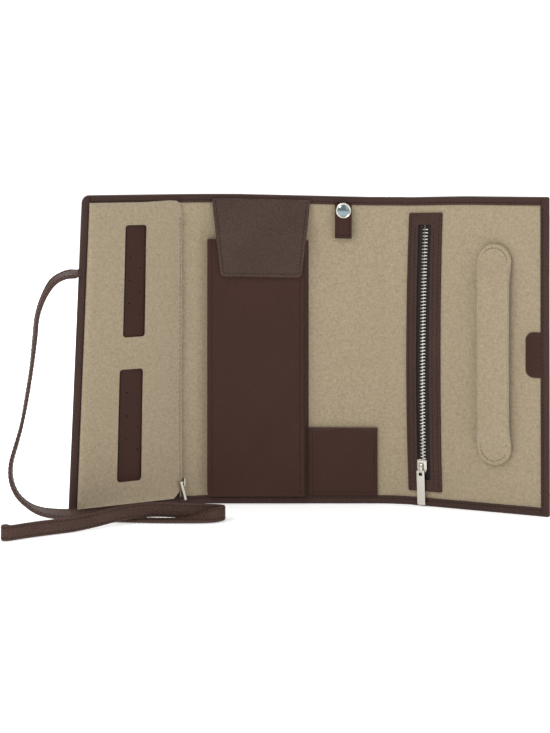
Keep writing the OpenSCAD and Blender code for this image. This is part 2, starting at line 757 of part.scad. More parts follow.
// One flat rounded end
module ring_end(z, up) {
    r = ring_end_w / 2;
    difference() {
        union() {
            translate([ring_x, z]) circle(r);
            if (up > 0) translate([ring_x - r, ring_fold_z + half_gap])
                square([ring_end_w, max(z - ring_fold_z - half_gap, touch)]);
            else translate([ring_x - r, z]) square([ring_end_w, ring_low - z]);
        }
        if (up > 0) translate([ring_x - 2 * r, ring_fold_z + half_gap - 4 * r]) square([4 * r, 4 * r]);
        else translate([ring_x - 2 * r, ring_low]) square([4 * r, 4 * r]);
    }
}
module ring_bar_anchor() {
    color(suede) on_right_flap() slab(ring_front_y, lining_y) ring_end(ring_top - ring_end_w / 2, 1);
}
module ring_bar() {
    half = ring_t / 2;
    color(suede) on_right_flap() difference() {
        union() {
            slab(ring_front_y, ring_back_y) ring_end(ring_z + ring_end_w / 2, -1);
            slab(ring_front_y, ring_back_y)
                face(ring_x - ring_w / 2, ring_fold_z - ring_neck - touch,
                     ring_x + ring_w / 2, ring_fold_z - half_gap);
            translate([ring_x, ring_back_y - half, ring_low]) linear_extrude(ring_fold_z - ring_neck - ring_low) {
                square([ring_w - ring_t, ring_t], center = true);
                for (side = [-1, 1]) translate([side * (ring_w - ring_t) / 2, 0]) circle(half);
            }
        }
        disc(ring_x, ring_snap_z, ring_back_y - socket_in, ring_back_y + 1, socket_r + 0.1);
    }
}
// Press stud under the bar's lower end
module ring_bar_stud() {
    color(nickel) on_right_flap() {
        disc(ring_x, ring_snap_z, lining_y - stud_base, lining_y, stud_base_r);
        disc(ring_x, ring_snap_z, lining_y - stud_l, lining_y - stud_base + touch, stud_r - stud_fit);
    }
}
module ring_bar_socket() {
    color(nickel) on_right_flap() difference() {
        disc(ring_x, ring_snap_z, ring_back_y - socket_in, ring_back_y + socket_t - socket_in, socket_r);
        disc(ring_x, ring_snap_z, ring_back_y - 2, ring_back_y + 2, stud_r + rivet_play);
    }
}

// ---- Blank label tab at the right border -----------------------------------------------------------
module label_tab() {
    edge = right_flap_w - border_w - 0.1;
    color(leather) on_right_flap() slab(lining_y - label_t, lining_y)
        face(edge - label_w, label_z, edge, label_z + label_h, label_r);
}

// ---- Tie strap: a flat cord that hangs from the left edge and lies doubled back on the table -------
// Each row is a point on the strap's centre line and the direction that its width points in there.
strap_route = [
    [-149, -25, 152], [-155, -28, 151], [-161.5, -30, 147], [-167, -31, 138], [-171, -31, 126],
    [-172.5, -31, 112], [-174.5, -31, 94], [-177.5, -31, 75], [-180.5, -31, 59], [-184, -31, 46],
    [-187, -31, 35], [-187, -31, 25], [-183.5, -31, 16], [-177, -31, 9.5], [-168.5, -32, 5.5],
    [-158, -33, 4], [-147, -34, 3.8], [-134, -35.5, 2.6], [-118, -37.5, 1.6], [-100, -39.5, 1.4],
    [-82, -40.5, 1.6], [-68, -41, 3.4], [-58.5, -39.5, 5], [-55, -36, 5.4], [-58.5, -33.5, 5.6],
    [-69, -33, 5.9], [-84, -34, 6.6], [-97, -37.5, 7.6], [-108, -43, 8], [-119, -50.5, 7.4],
    [-131, -59.5, 5.8], [-144, -69.5, 4.8], [-157.5, -79, 4.8], [-169, -87.5, 4.8], [-178, -95, 4.8],
    [-182, -96, 4.8], [-183, -93, 4.8], [-179.5, -90.5, 5]
];
strap_across = [
    [0, 0.85, 0.5], [-0.2, 0.9, 0.45], [-0.4, 0.85, 0.3], [-0.4, 0.9, 0], [-0.3, 0.95, 0],
    [-0.3, 0.95, 0], [-0.2, 1, 0], [-0.2, 1, 0], [-0.1, 1, 0], [0, 1, 0],
    [0, 1, 0], [0, 1, 0], [0, 1, 0], [0, 1, 0.1], [0, 0.9, 0.3],
    [0, 0.85, 0.45], [0, 0.85, 0.45], [0, 0.95, 0.25], [0, 1, 0.05], [0, 1, 0],
    [0, 1, 0.05], [0, 0.8, 0.5], [0, 0.3, 0.95], [0, 0, 1], [0, 0, 1],
    [0, 0, 1], [0, 0, 1], [0, 0, 1], [0, 0, 1], [0, 0, 1],
    [0, 0, 1], [0, 0, 1], [0, 0.1, 1], [0, 0.2, 1], [0, 0.2, 1],
    [0, 0.1, 1], [0, 0, 1], [0, 0, 1]
];
strap_steps = 2;
strap_bevel = 0.5;
strap_step = 0.02;

function unit(v) = v / norm(v);
// A point, or a direction, between entries of a list, on a smooth curve through them
function along(list, at) =
    let (last = len(list) - 1, i = min(floor(at), last - 1), t = at - i,
         a = list[max(i - 1, 0)], b = list[i], c = list[i + 1], d = list[min(i + 2, last)])
    0.5 * (2 * b + (c - a) * t + (2 * a - 5 * b + 4 * c - d) * t * t + (3 * b - a - 3 * c + d) * t * t * t);
function strap_ring(at) =
    let (step = strap_step, last = len(strap_route) - 1,
         ahead = along(strap_route, min(at + step, last)), behind = along(strap_route, max(at - step, 0)),
         t = unit(ahead - behind), w = along(strap_across, at),
         wide = unit(w - (w * t) * t), thick = cross(t, wide), mid = along(strap_route, at),
         a = strap_w / 2, b = strap_t / 2, bevel = strap_bevel)
    [for (p = [[a, b - bevel], [a - bevel, b], [bevel - a, b], [-a, b - bevel],
               [-a, bevel - b], [bevel - a, -b], [a - bevel, -b], [a, bevel - b]])
        mid + p[0] * wide + p[1] * thick];

module strap() {
    rings = [for (k = [0:(len(strap_route) - 1) * strap_steps]) strap_ring(k / strap_steps)];
    sides = len(rings[0]);
    color(leather) polyhedron(
        points = [for (ring = rings) each ring],
        faces = [
            [for (j = [0:sides - 1]) j],
            [for (j = [sides - 1:-1:0]) (len(rings) - 1) * sides + j],
            for (k = [0:len(rings) - 2], j = [0:sides - 1])
                let (a = k * sides + j, b = k * sides + (j + 1) % sides)
                each [[a, a + sides, b + sides], [a, b + sides, b]]
        ]);
}

centre_shell();
centre_board();
centre_lining();
left_spine_shell();
left_spine_board();
left_spine_lining();
left_flap_shell();
left_flap_board();
left_flap_lining();
right_spine_shell();
right_spine_board();
right_spine_lining();
right_flap_shell();
right_flap_board();
right_flap_lining();
pocket_front();
pocket_gusset();
pocket_magnet();
pocket_flap();
pocket_flap_backing();
flap_magnet();
patch_pocket();
snap_tab_back();
snap_tab_front();
snap_stud();
snap_socket();
snap_cap();
earring_page();
earring_strip_lower();
earring_strip_upper();
page_zip_tape();
page_zip_coil();
page_zip_slider();
page_zip_puller();
zip_frame();
zip_tape();
zip_teeth_left();
zip_teeth_right();
zip_stops();
zip_slider();
zip_puller();
zip_pocket_bag();
ring_bar_anchor();
ring_bar();
ring_bar_stud();
ring_bar_socket();
label_tab();
strap_anchor();
strap();
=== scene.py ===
import json
import math
import bmesh
import bpy
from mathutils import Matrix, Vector
from mathutils.geometry import tessellate_polygon


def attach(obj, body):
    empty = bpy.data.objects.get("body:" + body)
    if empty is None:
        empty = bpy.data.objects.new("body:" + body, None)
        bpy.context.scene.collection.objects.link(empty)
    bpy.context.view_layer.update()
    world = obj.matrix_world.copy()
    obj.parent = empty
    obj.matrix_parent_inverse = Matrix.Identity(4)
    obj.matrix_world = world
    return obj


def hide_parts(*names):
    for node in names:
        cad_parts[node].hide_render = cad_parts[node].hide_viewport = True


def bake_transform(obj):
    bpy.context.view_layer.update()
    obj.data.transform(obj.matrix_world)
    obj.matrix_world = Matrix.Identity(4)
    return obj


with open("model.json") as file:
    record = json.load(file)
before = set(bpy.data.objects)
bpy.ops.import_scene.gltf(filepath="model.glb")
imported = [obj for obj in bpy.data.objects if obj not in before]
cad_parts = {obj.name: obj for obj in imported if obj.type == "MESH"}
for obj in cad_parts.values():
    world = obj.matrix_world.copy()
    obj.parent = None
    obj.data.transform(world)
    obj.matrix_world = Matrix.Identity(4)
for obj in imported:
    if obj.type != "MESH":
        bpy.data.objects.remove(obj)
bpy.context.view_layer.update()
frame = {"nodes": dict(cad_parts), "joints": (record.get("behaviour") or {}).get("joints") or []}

MM = 0.001

# ---- Camera, floor and light ----------------------------------------
# The camera stands in front of the centre panel a little above the case, as one looks at a folding
# screen on a table. A white cyclorama floor and large soft panels light it like a product shot.

CAMERA_AT = (-0.0234, -1.1891, 0.2244)
CAMERA_DOWN = math.radians(-0.73)
LENS = 91.53
SHIFT_Y = -0.3172


def add_camera():
    data = bpy.data.cameras.new("camera")
    data.lens, data.shift_y, data.sensor_width = LENS, SHIFT_Y, 36.0
    data.clip_start, data.clip_end = 0.01, 50.0
    camera = bpy.data.objects.new("camera", data)
    camera.location = CAMERA_AT
    camera.rotation_euler = (math.pi / 2 - CAMERA_DOWN, 0, 0)
    bpy.context.collection.objects.link(camera)
    bpy.context.scene.camera = camera


def add_area(name, at, target, size, power):
    data = bpy.data.lights.new(name, "AREA")
    data.shape, data.size, data.size_y = "RECTANGLE", size[0], size[1]
    data.energy = power
    light = bpy.data.objects.new(name, data)
    light.location = at
    light.rotation_euler = (Vector(target) - Vector(at)).to_track_quat("-Z", "Y").to_euler()
    bpy.context.collection.objects.link(light)


def colour(text):
    """An sRGB hex colour as linear RGBA."""
    parts = [int(text[k:k + 2], 16) / 255 for k in (0, 2, 4)]
    return [*((c / 12.92) if c <= 0.04045 else ((c + 0.055) / 1.055) ** 2.4 for c in parts), 1.0]


def add_node(tree, kind, links=(), **settings):
    """A node with its settings, its inputs' values by name, and its links (output, input name)."""
    node = tree.nodes.new(kind)
    for key, value in settings.items():
        if hasattr(node, key):
            setattr(node, key, value)
        else:
            node.inputs[key.replace("_", " ")].default_value = value
    for source, name in links:
        tree.links.new(source, node.inputs[name])
    return node


def add_floor():
    mesh = bpy.data.meshes.new("floor")
    reach = 6.0
    mesh.from_pydata([(-reach, -reach, 0), (reach, -reach, 0), (reach, reach, 0), (-reach, reach, 0)],
                     [], [(0, 1, 2, 3)])
    floor = bpy.data.objects.new("floor", mesh)
    bpy.context.collection.objects.link(floor)
    material = bpy.data.materials.new("white_paper_floor")
    material.use_nodes = True
    shader = material.node_tree.nodes["Principled BSDF"]
    shader.inputs["Base Color"].default_value = colour("fbfbfb")
    shader.inputs["Roughness"].default_value = 0.9
    shader.inputs["Specular IOR Level"].default_value = 0.0
    shader.inputs["Emission Color"].default_value = (1, 1, 1, 1)
    shader.inputs["Emission Strength"].default_value = 0.42
    mesh.materials.append(material)
    world = bpy.data.worlds.new("studio")
    world.use_nodes = True
    tree = world.node_tree
    seen = add_node(tree, "ShaderNodeLightPath").outputs["Is Camera Ray"]
    strength = add_node(tree, "ShaderNodeMapRange", [(seen, "Value")], To_Min=0.62, To_Max=1.2)
    tree.nodes["Background"].inputs["Color"].default_value = (1, 1, 1, 1)
    tree.links.new(strength.outputs["Result"], tree.nodes["Background"].inputs["Strength"])
    bpy.context.scene.world = world


scene = bpy.context.scene
scene.render.resolution_x, scene.render.resolution_y = 550, 733
scene.view_settings.view_transform = "Standard"
add_camera()
add_floor()
add_area("key", (-0.9, -1.1, 1.3), (0, 0, 0.1), (0.9, 0.8), 10.5)
add_area("fill", (1.1, -1.2, 0.9), (0.05, 0, 0.1), (1.2, 1.2), 3.2)
add_area("back", (0.0, 1.6, 1.9), (0, 1.2, 0), (3.0, 2.0), 60)


# ---- Leather, suede, metal and tape ---------------------------------
# Full-grain brown leather: smooth on the case, pebbled on the pocket's flap. Grain is Voronoi cells in
# object space, at the real size, with cloudy colour and a soft sheen. Suede is matt, with a fine nap.

def new_material(name):
    material = bpy.data.materials.new(name)
    material.use_nodes = True
    tree = material.node_tree
    shader = tree.nodes["Principled BSDF"]
    place = add_node(tree, "ShaderNodeTexCoord").outputs["Object"]
    return material, tree, shader, place


def leather(name, base, light, dark, grain_mm, depth, rough=0.5, contrast=0.4):
    """Leather whose eye-visible parts are its pebble cells and cloudy dye; the cells' edges carry painted
    shade in the grain's creases, which leaves the raised grain paler.
    """
    material, tree, shader, place = new_material(name)
    cells = add_node(tree, "ShaderNodeTexVoronoi", [(place, "Vector")], feature="SMOOTH_F1",
                     Scale=1000 / grain_mm, Smoothness=0.6)
    fine = add_node(tree, "ShaderNodeTexNoise", [(place, "Vector")], Scale=2600.0, Detail=3.0)
    cloud = add_node(tree, "ShaderNodeTexNoise", [(place, "Vector")], Scale=24.0, Detail=4.0)
    tint = add_node(tree, "ShaderNodeValToRGB", [(cloud.outputs["Fac"], "Fac")])
    tint.color_ramp.elements[0].position, tint.color_ramp.elements[0].color = 0.3, colour(base)
    tint.color_ramp.elements[1].position, tint.color_ramp.elements[1].color = 0.75, colour(light)
    # Painted shade: the grain cells' edges, the creases between the raised pebbles, are mixed towards dark by
    # up to contrast, on top of the bump
    shade = add_node(tree, "ShaderNodeMapRange", [(cells.outputs["Distance"], "Value")],
                     From_Min=0.25, From_Max=0.85, To_Min=0.0, To_Max=contrast)
    mixed = add_node(tree, "ShaderNodeMix", [(shade.outputs["Result"], "Factor")], data_type="RGBA")
    tree.links.new(tint.outputs["Color"], mixed.inputs[6])
    mixed.inputs[7].default_value = colour(dark)
    tree.links.new(mixed.outputs[2], shader.inputs["Base Color"])
    height = add_node(tree, "ShaderNodeMath", [(cells.outputs["Distance"], 0)], operation="MULTIPLY")
    height.inputs[1].default_value = -1.0
    total = add_node(tree, "ShaderNodeMath", [(height.outputs[0], 0), (fine.outputs["Fac"], 1)],
                     operation="ADD")
    bump = add_node(tree, "ShaderNodeBump", [(total.outputs[0], "Height")], Strength=1.0,
                    Distance=0.0002 * depth)
    tree.links.new(bump.outputs["Normal"], shader.inputs["Normal"])
    roughness = add_node(tree, "ShaderNodeMapRange", [(cloud.outputs["Fac"], "Value")],
                         To_Min=rough - 0.06, To_Max=rough + 0.1)
    tree.links.new(roughness.outputs["Result"], shader.inputs["Roughness"])
    shader.inputs["Specular IOR Level"].default_value = 0.16
    return material


def suede(name, base, light, dark):
    """Brushed microsuede: short nap that scatters light, with faint lighter and darker brushing."""
    material, tree, shader, place = new_material(name)
    nap = add_node(tree, "ShaderNodeTexNoise", [(place, "Vector")], Scale=1900.0, Detail=4.0, Roughness=0.7)
    brushed = add_node(tree, "ShaderNodeTexNoise", [(place, "Vector")], Scale=620.0, Detail=4.0,
                       Roughness=0.65)
    mottle = add_node(tree, "ShaderNodeMath", [(nap.outputs["Fac"], 0), (brushed.outputs["Fac"], 1)],
                      operation="ADD")
    tint = add_node(tree, "ShaderNodeValToRGB")
    halved = add_node(tree, "ShaderNodeMath", [(mottle.outputs[0], 0)], operation="MULTIPLY")
    halved.inputs[1].default_value = 0.5
    tree.links.new(halved.outputs[0], tint.inputs["Fac"])
    ramp = tint.color_ramp
    ramp.elements[0].position, ramp.elements[0].color = 0.36, colour(dark)
    ramp.elements[1].position, ramp.elements[1].color = 0.64, colour(light)
    ramp.elements.new(0.5).color = colour(base)
    tree.links.new(tint.outputs["Color"], shader.inputs["Base Color"])
    bump = add_node(tree, "ShaderNodeBump", [(mottle.outputs[0], "Height")], Strength=0.5, Distance=0.0004)
    tree.links.new(bump.outputs["Normal"], shader.inputs["Normal"])
    shader.inputs["Roughness"].default_value = 0.95
    shader.inputs["Sheen Weight"].default_value = 0.35
    shader.inputs["Sheen Roughness"].default_value = 0.6
    shader.inputs["Specular IOR Level"].default_value = 0.15
    return material


def plated(name, tone, rough):
    """Nickel plating: bright metal with faint handling haze."""
    material, tree, shader, place = new_material(name)
    haze = add_node(tree, "ShaderNodeTexNoise", [(place, "Vector")], Scale=500.0, Detail=3.0)
    roughness = add_node(tree, "ShaderNodeMapRange", [(haze.outputs["Fac"], "Value")],
                         To_Min=rough - 0.06, To_Max=rough + 0.1)
    tree.links.new(roughness.outputs["Result"], shader.inputs["Roughness"])
    shader.inputs["Base Color"].default_value = colour(tone)
    shader.inputs["Metallic"].default_value = 1.0
    return material


def woven(name, base, light, pitch_mm):
    """Zip tape or board: a tight weave of two close tones."""
    material, tree, shader, place = new_material(name)
    warp = add_node(tree, "ShaderNodeTexWave", [(place, "Vector")], bands_direction="Z",
                    Scale=1000 / pitch_mm / 6.28, Distortion=0.6)
    tint = add_node(tree, "ShaderNodeValToRGB", [(warp.outputs["Fac"], "Fac")])
    tint.color_ramp.elements[0].color = colour(base)
    tint.color_ramp.elements[1].color = colour(light)
    tree.links.new(tint.outputs["Color"], shader.inputs["Base Color"])
    bump = add_node(tree, "ShaderNodeBump", [(warp.outputs["Fac"], "Height")], Strength=0.4, Distance=0.0002)
    tree.links.new(bump.outputs["Normal"], shader.inputs["Normal"])
    shader.inputs["Roughness"].default_value = 0.85
    return material


SMOOTH = leather("smooth_brown_leather", "39221c", "402720", "301d17", 0.9, 0.2)
EDGE = leather("turned_edge_leather", "3e2b26", "47332d", "30201b", 0.8, 0.4, contrast=0.6)
PEBBLED = leather("pebbled_brown_leather", "48362f", "53413a", "2b1c18", 0.85, 1.5, rough=0.4, contrast=0.6)
STRAP = leather("strap_brown_leather", "4b362e", "57423a", "33231e", 0.8, 0.9, contrast=0.7)
THREAD = leather("brown_waxed_thread", "21140f", "2b1b16", "1a0f0c", 0.4, 0.1, rough=0.6)
SUEDE = suede("taupe_microsuede", "9b8c73", "a99a80", "87785e")
TAUPE_THREAD = suede("taupe_thread", "4d4231", "5a4e3b", "3f3628")
NICKEL = plated("nickel_plate", "c9c4ba", 0.2)
SMOKED = plated("smoked_nickel", "7f8f92", 0.1)
TAPE = woven("black_zip_tape", "0d0908", "1a1312", 0.5)
BOARD = woven("grey_board", "8a867e", "96928a", 1.2)


# ---- The pattern and its folds --------------------------------------
# Every piece is cut flat, in the pattern's u (across, from the centre's left fold), z (up) and out
# (towards the viewer from the turned border's face), and then folded to stand where the CAD panels do.

FLAP_WIDTHS = (77.0, 97.0)      # left and right
HEIGHT = 200.0
LINE_START = 20.0               # where a line of the plan starts, clear of the centre's folds
LEAN, LEAN_AT = 4.2, 0.95       # the left flap's shear, and the height it is taken from, in 100 mm
BOW, BOW_FLAT = 2.2, 0.4        # the right flap's bow at its top and at its waist
BOW_WAIST, BOW_REACH = 92, 95
TOP_RISE, TOP_FALL, TOP_BACK = 1.0, 2.1, 1.0


class Plan:
    """Where the flat pattern stands, worked out from the joints: each fold is a short smooth bend."""

    def __init__(self):
        at = {j["name"]: Vector(j["pos_m"]) for j in frame["joints"] if "pos_m" in j}
        self.cache = {}
        self.left, self.left_2 = at["left_fold"], at["left_flap_fold"]
        self.right, self.right_2 = at["right_fold"], at["right_flap_fold"]
        self.centre_w = (self.right - self.left).length / MM
        self.left_spine = (self.left_2 - self.left).length / MM
        self.right_spine = (self.right_2 - self.right).length / MM
        self.left_turn = math.atan2(self.left.y - self.left_2.y, self.left.x - self.left_2.x)
        self.right_turn = math.atan2(self.right.y - self.right_2.y, self.right_2.x - self.right.x)

    def heading(self, u, bend=3.0):
        """How far the pattern has turned towards the viewer at u, in radians."""
        def step(past):
            t = min(max(past / bend / 2 + 0.5, 0), 1)
            return t * t * (3 - 2 * t)
        if u < self.centre_w / 2:
            return self.left_turn * (step(-u) + step(-u - self.left_spine))
        return self.right_turn * (step(u - self.centre_w) + step(u - self.centre_w - self.right_spine))

    def line(self, u, step=0.25):
        """The point of the pattern's face at u, and the direction out of it towards the viewer."""
        key = round(u * 100)
        if key not in self.cache:
            start = LINE_START if u < self.centre_w / 2 else self.centre_w - LINE_START
            x, y = self.left.x / MM + start, self.left.y / MM
            count = max(int(abs(u - start) / step), 1)
            d = (u - start) / count
            for k in range(count):
                h = self.heading(start + (k + 0.5) * d)
                x += d * math.cos(h)
                y -= abs(d) * math.sin(h) if h > 0 else 0
            h = self.heading(u)
            side = 1 if u < self.centre_w / 2 else -1
            self.cache[key] = (x, y, side * math.sin(h), -math.cos(h))
        return self.cache[key]

    def spot(self, u, z, out):
        x, y, nx, ny = self.line(u)
        # The left flap has relaxed askew: its lower corner stands further out than its upper one
        if u < -self.left_spine:
            x -= LEAN * (-u - self.left_spine) / 77 * (LEAN_AT - z / 100)
        # The right flap bows a little near its fold, most at the top
        if u > self.centre_w:
            far = min((u - self.centre_w) / 12, 1) * (1 - (u - self.centre_w) / 109)
            x += BOW * far * ((z - BOW_WAIST) / BOW_REACH) ** 2 - BOW_FLAT * far
        # The top edge has settled: it is highest at the left fold and lowest at the right one
        slope = (TOP_RISE - TOP_FALL * min(max((u - 20) / 90, 0), 1)
                 + TOP_BACK * min(max((u - 129) / 40, 0), 1))
        return Vector(((x + nx * out) * MM, (y + ny * out) * MM, (z + slope * z / HEIGHT) * MM))


plan = Plan()
LEFT_EDGE = -plan.left_spine - FLAP_WIDTHS[0]
RIGHT_FLAP = plan.centre_w + plan.right_spine
RIGHT_EDGE = RIGHT_FLAP + FLAP_WIDTHS[1]
BORDER = 5.5
STACK = 3.6
LINING_OUT = -0.8


def finish_mesh(name, bm, material, body=None, folded=True, replaces=()):
    """A mesh object from bm, whose vertices are (u, -out, z) in mm if folded, riding on body."""
    bmesh.ops.remove_doubles(bm, verts=bm.verts, dist=1e-5)
    for v in bm.verts:
        v.co = plan.spot(v.co.x, v.co.z, -v.co.y) if folded else v.co * MM
    bmesh.ops.recalc_face_normals(bm, faces=bm.faces)
    mesh = bpy.data.meshes.new(name)
    bm.to_mesh(mesh)
    bm.free()
    mesh.materials.append(material)
    mesh.shade_smooth()
    mesh.set_sharp_from_angle(angle=math.radians(40))
    piece = bpy.data.objects.new(name, mesh)
    bpy.context.collection.objects.link(piece)
    if body:
        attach(piece, body)
    if replaces:
        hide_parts(*replaces)
    return piece


def grid(bm, rows, closed_rows=False):
    """Faces between neighbouring rows of points; each row is a closed ring if closed_rows."""
    made = [[bm.verts.new(p) for p in row] for row in rows]
    for a, b in zip(made, made[1:]):
        n = len(a)
        for k in range(n if closed_rows else n - 1):
            bm.faces.new((a[k], a[(k + 1) % n], b[(k + 1) % n], b[k]))
    if closed_rows:
        bm.faces.new(made[0][::-1])
        bm.faces.new(made[-1])


def grid_piece(name, rows, *rest, **named):
    """A closed piece whose sections are the rows."""
    bm = bmesh.new()
    grid(bm, rows, closed_rows=True)
    return finish_mesh(name, bm, *rest, **named)


def finish_nodes(material, *names):
    """Hidden or small CAD nodes that show as they are."""
    for name in names:
        for place in frame["nodes"][name].material_slots:
            place.material = material


def inset_outline(points, by):
    """A closed outline moved inwards by that much (points run anticlockwise in u, z)."""
    out, n = [], len(points)
    for k in range(n):
        a, b, c = (Vector(points[(k + s) % n]) for s in (-1, 0, 1))
        d0, d1 = (b - a).normalized(), (c - b).normalized()
        normal = Vector((-d0.y - d1.y, d0.x + d1.x))
        scale = by / max(normal.length_squared / 2, 0.2)
        out.append((b.x + normal.x * scale, b.y + normal.y * scale))
    return out


def rounded(u0, z0, u1, z1, r=0.6, steps=5):
    """An anticlockwise rectangle with round corners; r is one radius or four, from the lower left."""
    radii = [r] * 4 if isinstance(r, (int, float)) else r
    corners = [(u0, z0, 180), (u1, z0, 270), (u1, z1, 0), (u0, z1, 90)]
    out = []
    for (u, z, start), q in zip(corners, radii):
        cu, cz = u + (q if u == u0 else -q), z + (q if z == z0 else -q)
        for k in range(steps + 1):
            a = math.radians(start + 90 * k / steps)
            out.append((cu + q * math.cos(a), cz + q * math.sin(a)))
    return out


def plate(bm, outline, back, front, bevel=0.35, holes=(), lift=None):
    """A flat piece with softened front edges, as cut leather has; lift(u, z) moves its points out."""
    raise_by = lift or (lambda u, z: 0.0)

    def ring(points, out):
        return [bm.verts.new((u, -(out + raise_by(u, z)), z)) for u, z in points]

    loops = [(list(outline), 1)] + [(list(h), -1) for h in holes]
    back_rings, front_rings = [], []
    for points, way in loops:
        inner = inset_outline(points, bevel * way)
        half = inset_outline(points, bevel * 0.3 * way)
        rings = [ring(points, back), ring(points, front - bevel), ring(half, front - bevel * 0.3),
                 ring(inner, front)]
        n = len(points)
        for a, b in zip(rings, rings[1:]):
            for k in range(n):
                bm.faces.new((a[k], a[(k + 1) % n], b[(k + 1) % n], b[k]))
        back_rings.append(rings[0])
        front_rings.append(rings[-1])
    for rings in (back_rings, front_rings):
        vectors = [[Vector((v.co.x, v.co.z, 0)) for v in r] for r in rings]
        flat = [v for r in rings for v in r]
        for tri in tessellate_polygon(vectors):
            corner = [flat[k] for k in tri]
            if len(set(corner)) == 3:
                try:
                    bm.faces.new(corner)
                except ValueError:
                    pass


def plate_piece(name, outline, back, front, material, body, bevel=0.35, holes=(), lift=None, **rest):
    bm = bmesh.new()
    plate(bm, outline, back, front, bevel, holes, lift)
    return finish_mesh(name, bm, material, body, **rest)


# ---- Tie strap ------------------------------------------------------
# A flat strap of two leathers sewn back to back, pale and rough inside. It leaves the left edge, hangs
# in a loop, lies doubled back on the table, and is stitched along both edges.

STRAP_W, STRAP_T = 9.0, 2.0
ROUTE = [
    (-0.149, -0.025, 0.152), (-0.155, -0.028, 0.151), (-0.1615, -0.030, 0.147), (-0.167, -0.031, 0.138),
    (-0.171, -0.031, 0.126), (-0.1725, -0.031, 0.112), (-0.1745, -0.031, 0.094), (-0.1775, -0.031, 0.075),
    (-0.1805, -0.031, 0.059), (-0.184, -0.031, 0.046), (-0.187, -0.031, 0.035), (-0.187, -0.031, 0.025),
    (-0.1835, -0.031, 0.016), (-0.177, -0.031, 0.0095), (-0.1685, -0.032, 0.0055), (-0.158, -0.033, 0.004),
    (-0.147, -0.034, 0.0038), (-0.134, -0.0355, 0.0026), (-0.118, -0.0375, 0.0016), (-0.100, -0.0395, 0.0014),
    (-0.082, -0.0405, 0.0016), (-0.068, -0.041, 0.0034), (-0.0585, -0.0395, 0.005), (-0.055, -0.036, 0.0054),
    (-0.0585, -0.0335, 0.0056), (-0.069, -0.033, 0.0059), (-0.084, -0.034, 0.0066), (-0.097, -0.0375, 0.0076),
    (-0.108, -0.043, 0.008), (-0.119, -0.0505, 0.0074), (-0.131, -0.0595, 0.0058), (-0.144, -0.0695, 0.0048),
    (-0.1575, -0.079, 0.0048), (-0.169, -0.0875, 0.0048), (-0.178, -0.095, 0.0048), (-0.182, -0.096, 0.0048),
    (-0.183, -0.093, 0.0048), (-0.1795, -0.0905, 0.005)]
ACROSS = [
    (0, 0.85, 0.5), (-0.2, 0.9, 0.45), (-0.4, 0.85, 0.3), (-0.4, 0.9, 0), *[(-0.3, 0.95, 0)] * 2,
    *[(-0.2, 1, 0)] * 2, (-0.1, 1, 0), *[(0, 1, 0)] * 4, (0, 1, 0.1), (0, 0.9, 0.3),
    *[(0, 0.85, 0.45)] * 2, (0, 0.95, 0.25), (0, 1, 0.05), (0, 1, 0), (0, 1, 0.05), (0, 0.8, 0.5),
    (0, 0.3, 0.95), *[(0, 0, 1)] * 9, (0, 0.1, 1), *[(0, 0.2, 1)] * 2, (0, 0.1, 1), *[(0, 0, 1)] * 2]


def along(points, at):
    """A point between entries of a list, on a smooth curve through them."""
    last = len(points) - 1
    i = min(int(at), last - 1)
    t = at - i
    a, b, c, d = (Vector(points[k]) for k in (max(i - 1, 0), i, i + 1, min(i + 2, last)))
    return 0.5 * (2 * b + (c - a) * t + (2 * a - 5 * b + 4 * c - d) * t * t
                  + (3 * b - a - 3 * c + d) * t * t * t)


def strap_frame(at):
    """The strap's middle there, the way its width points, and the way its face points."""
    last = len(ROUTE) - 1
    tangent = (along(ROUTE, min(at + 0.02, last)) - along(ROUTE, max(at - 0.02, 0))).normalized()
    wide = along(ACROSS, at)
    wide = (wide - wide.dot(tangent) * tangent).normalized()
    return along(ROUTE, at), wide, tangent.cross(wide)


def make_strap():
    half_w, half_t = STRAP_W / 2, STRAP_T / 2
    section = []
    for k in range(24):
        a = 2 * math.pi * k / 24
        c, s = math.cos(a), math.sin(a)
        section.append((half_w * math.copysign(abs(c) ** 0.25, c),
                        half_t * math.copysign(abs(s) ** 0.55, s)))
    rows, steps = [], (len(ROUTE) - 1) * 6
    for k in range(steps + 1):
        mid, wide, face = strap_frame(k / 6)
        taper = 1.0 if k < steps - 4 else 1.0 - 0.06 * (k - steps + 4) ** 1.3 / 2
        rows.append([(mid + (wide * p * taper + face * q) * MM) / MM for p, q in section])
    root = plan.spot(LEFT_EDGE + 1.0, 152.0, -1.8) / MM
    rows.insert(0, [root + (Vector(p) - Vector(ROUTE[0]) / MM) * 0.62 for p in rows[0]])
    piece = grid_piece("tie_strap", rows, STRAP, folded=False)
    return piece, [tuple(along(ROUTE, k / 2)) for k in range((len(ROUTE) - 1) * 2 + 1)]


def strap_rows():
    """The two lines that the strap's stitches run along, on each face."""
    lines = []
    for side in (-1, 1):
        for face_side in (-1, 1):
            line = []
            for k in range(2, (len(ROUTE) - 1) * 6 - 2):
                mid, wide, face = strap_frame(k / 6)
                line.append(mid + (wide * side * (STRAP_W / 2 - 1.5)
                                   + face * face_side * (STRAP_T / 2)) * MM)
            lines.append(line)
    return lines


strap, strap_path = make_strap()
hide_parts("strap")
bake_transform(strap)


# ---- Stitching ------------------------------------------------------
# Waxed thread: one short capsule a stitch, set along a line by Geometry Nodes and turned to follow it.

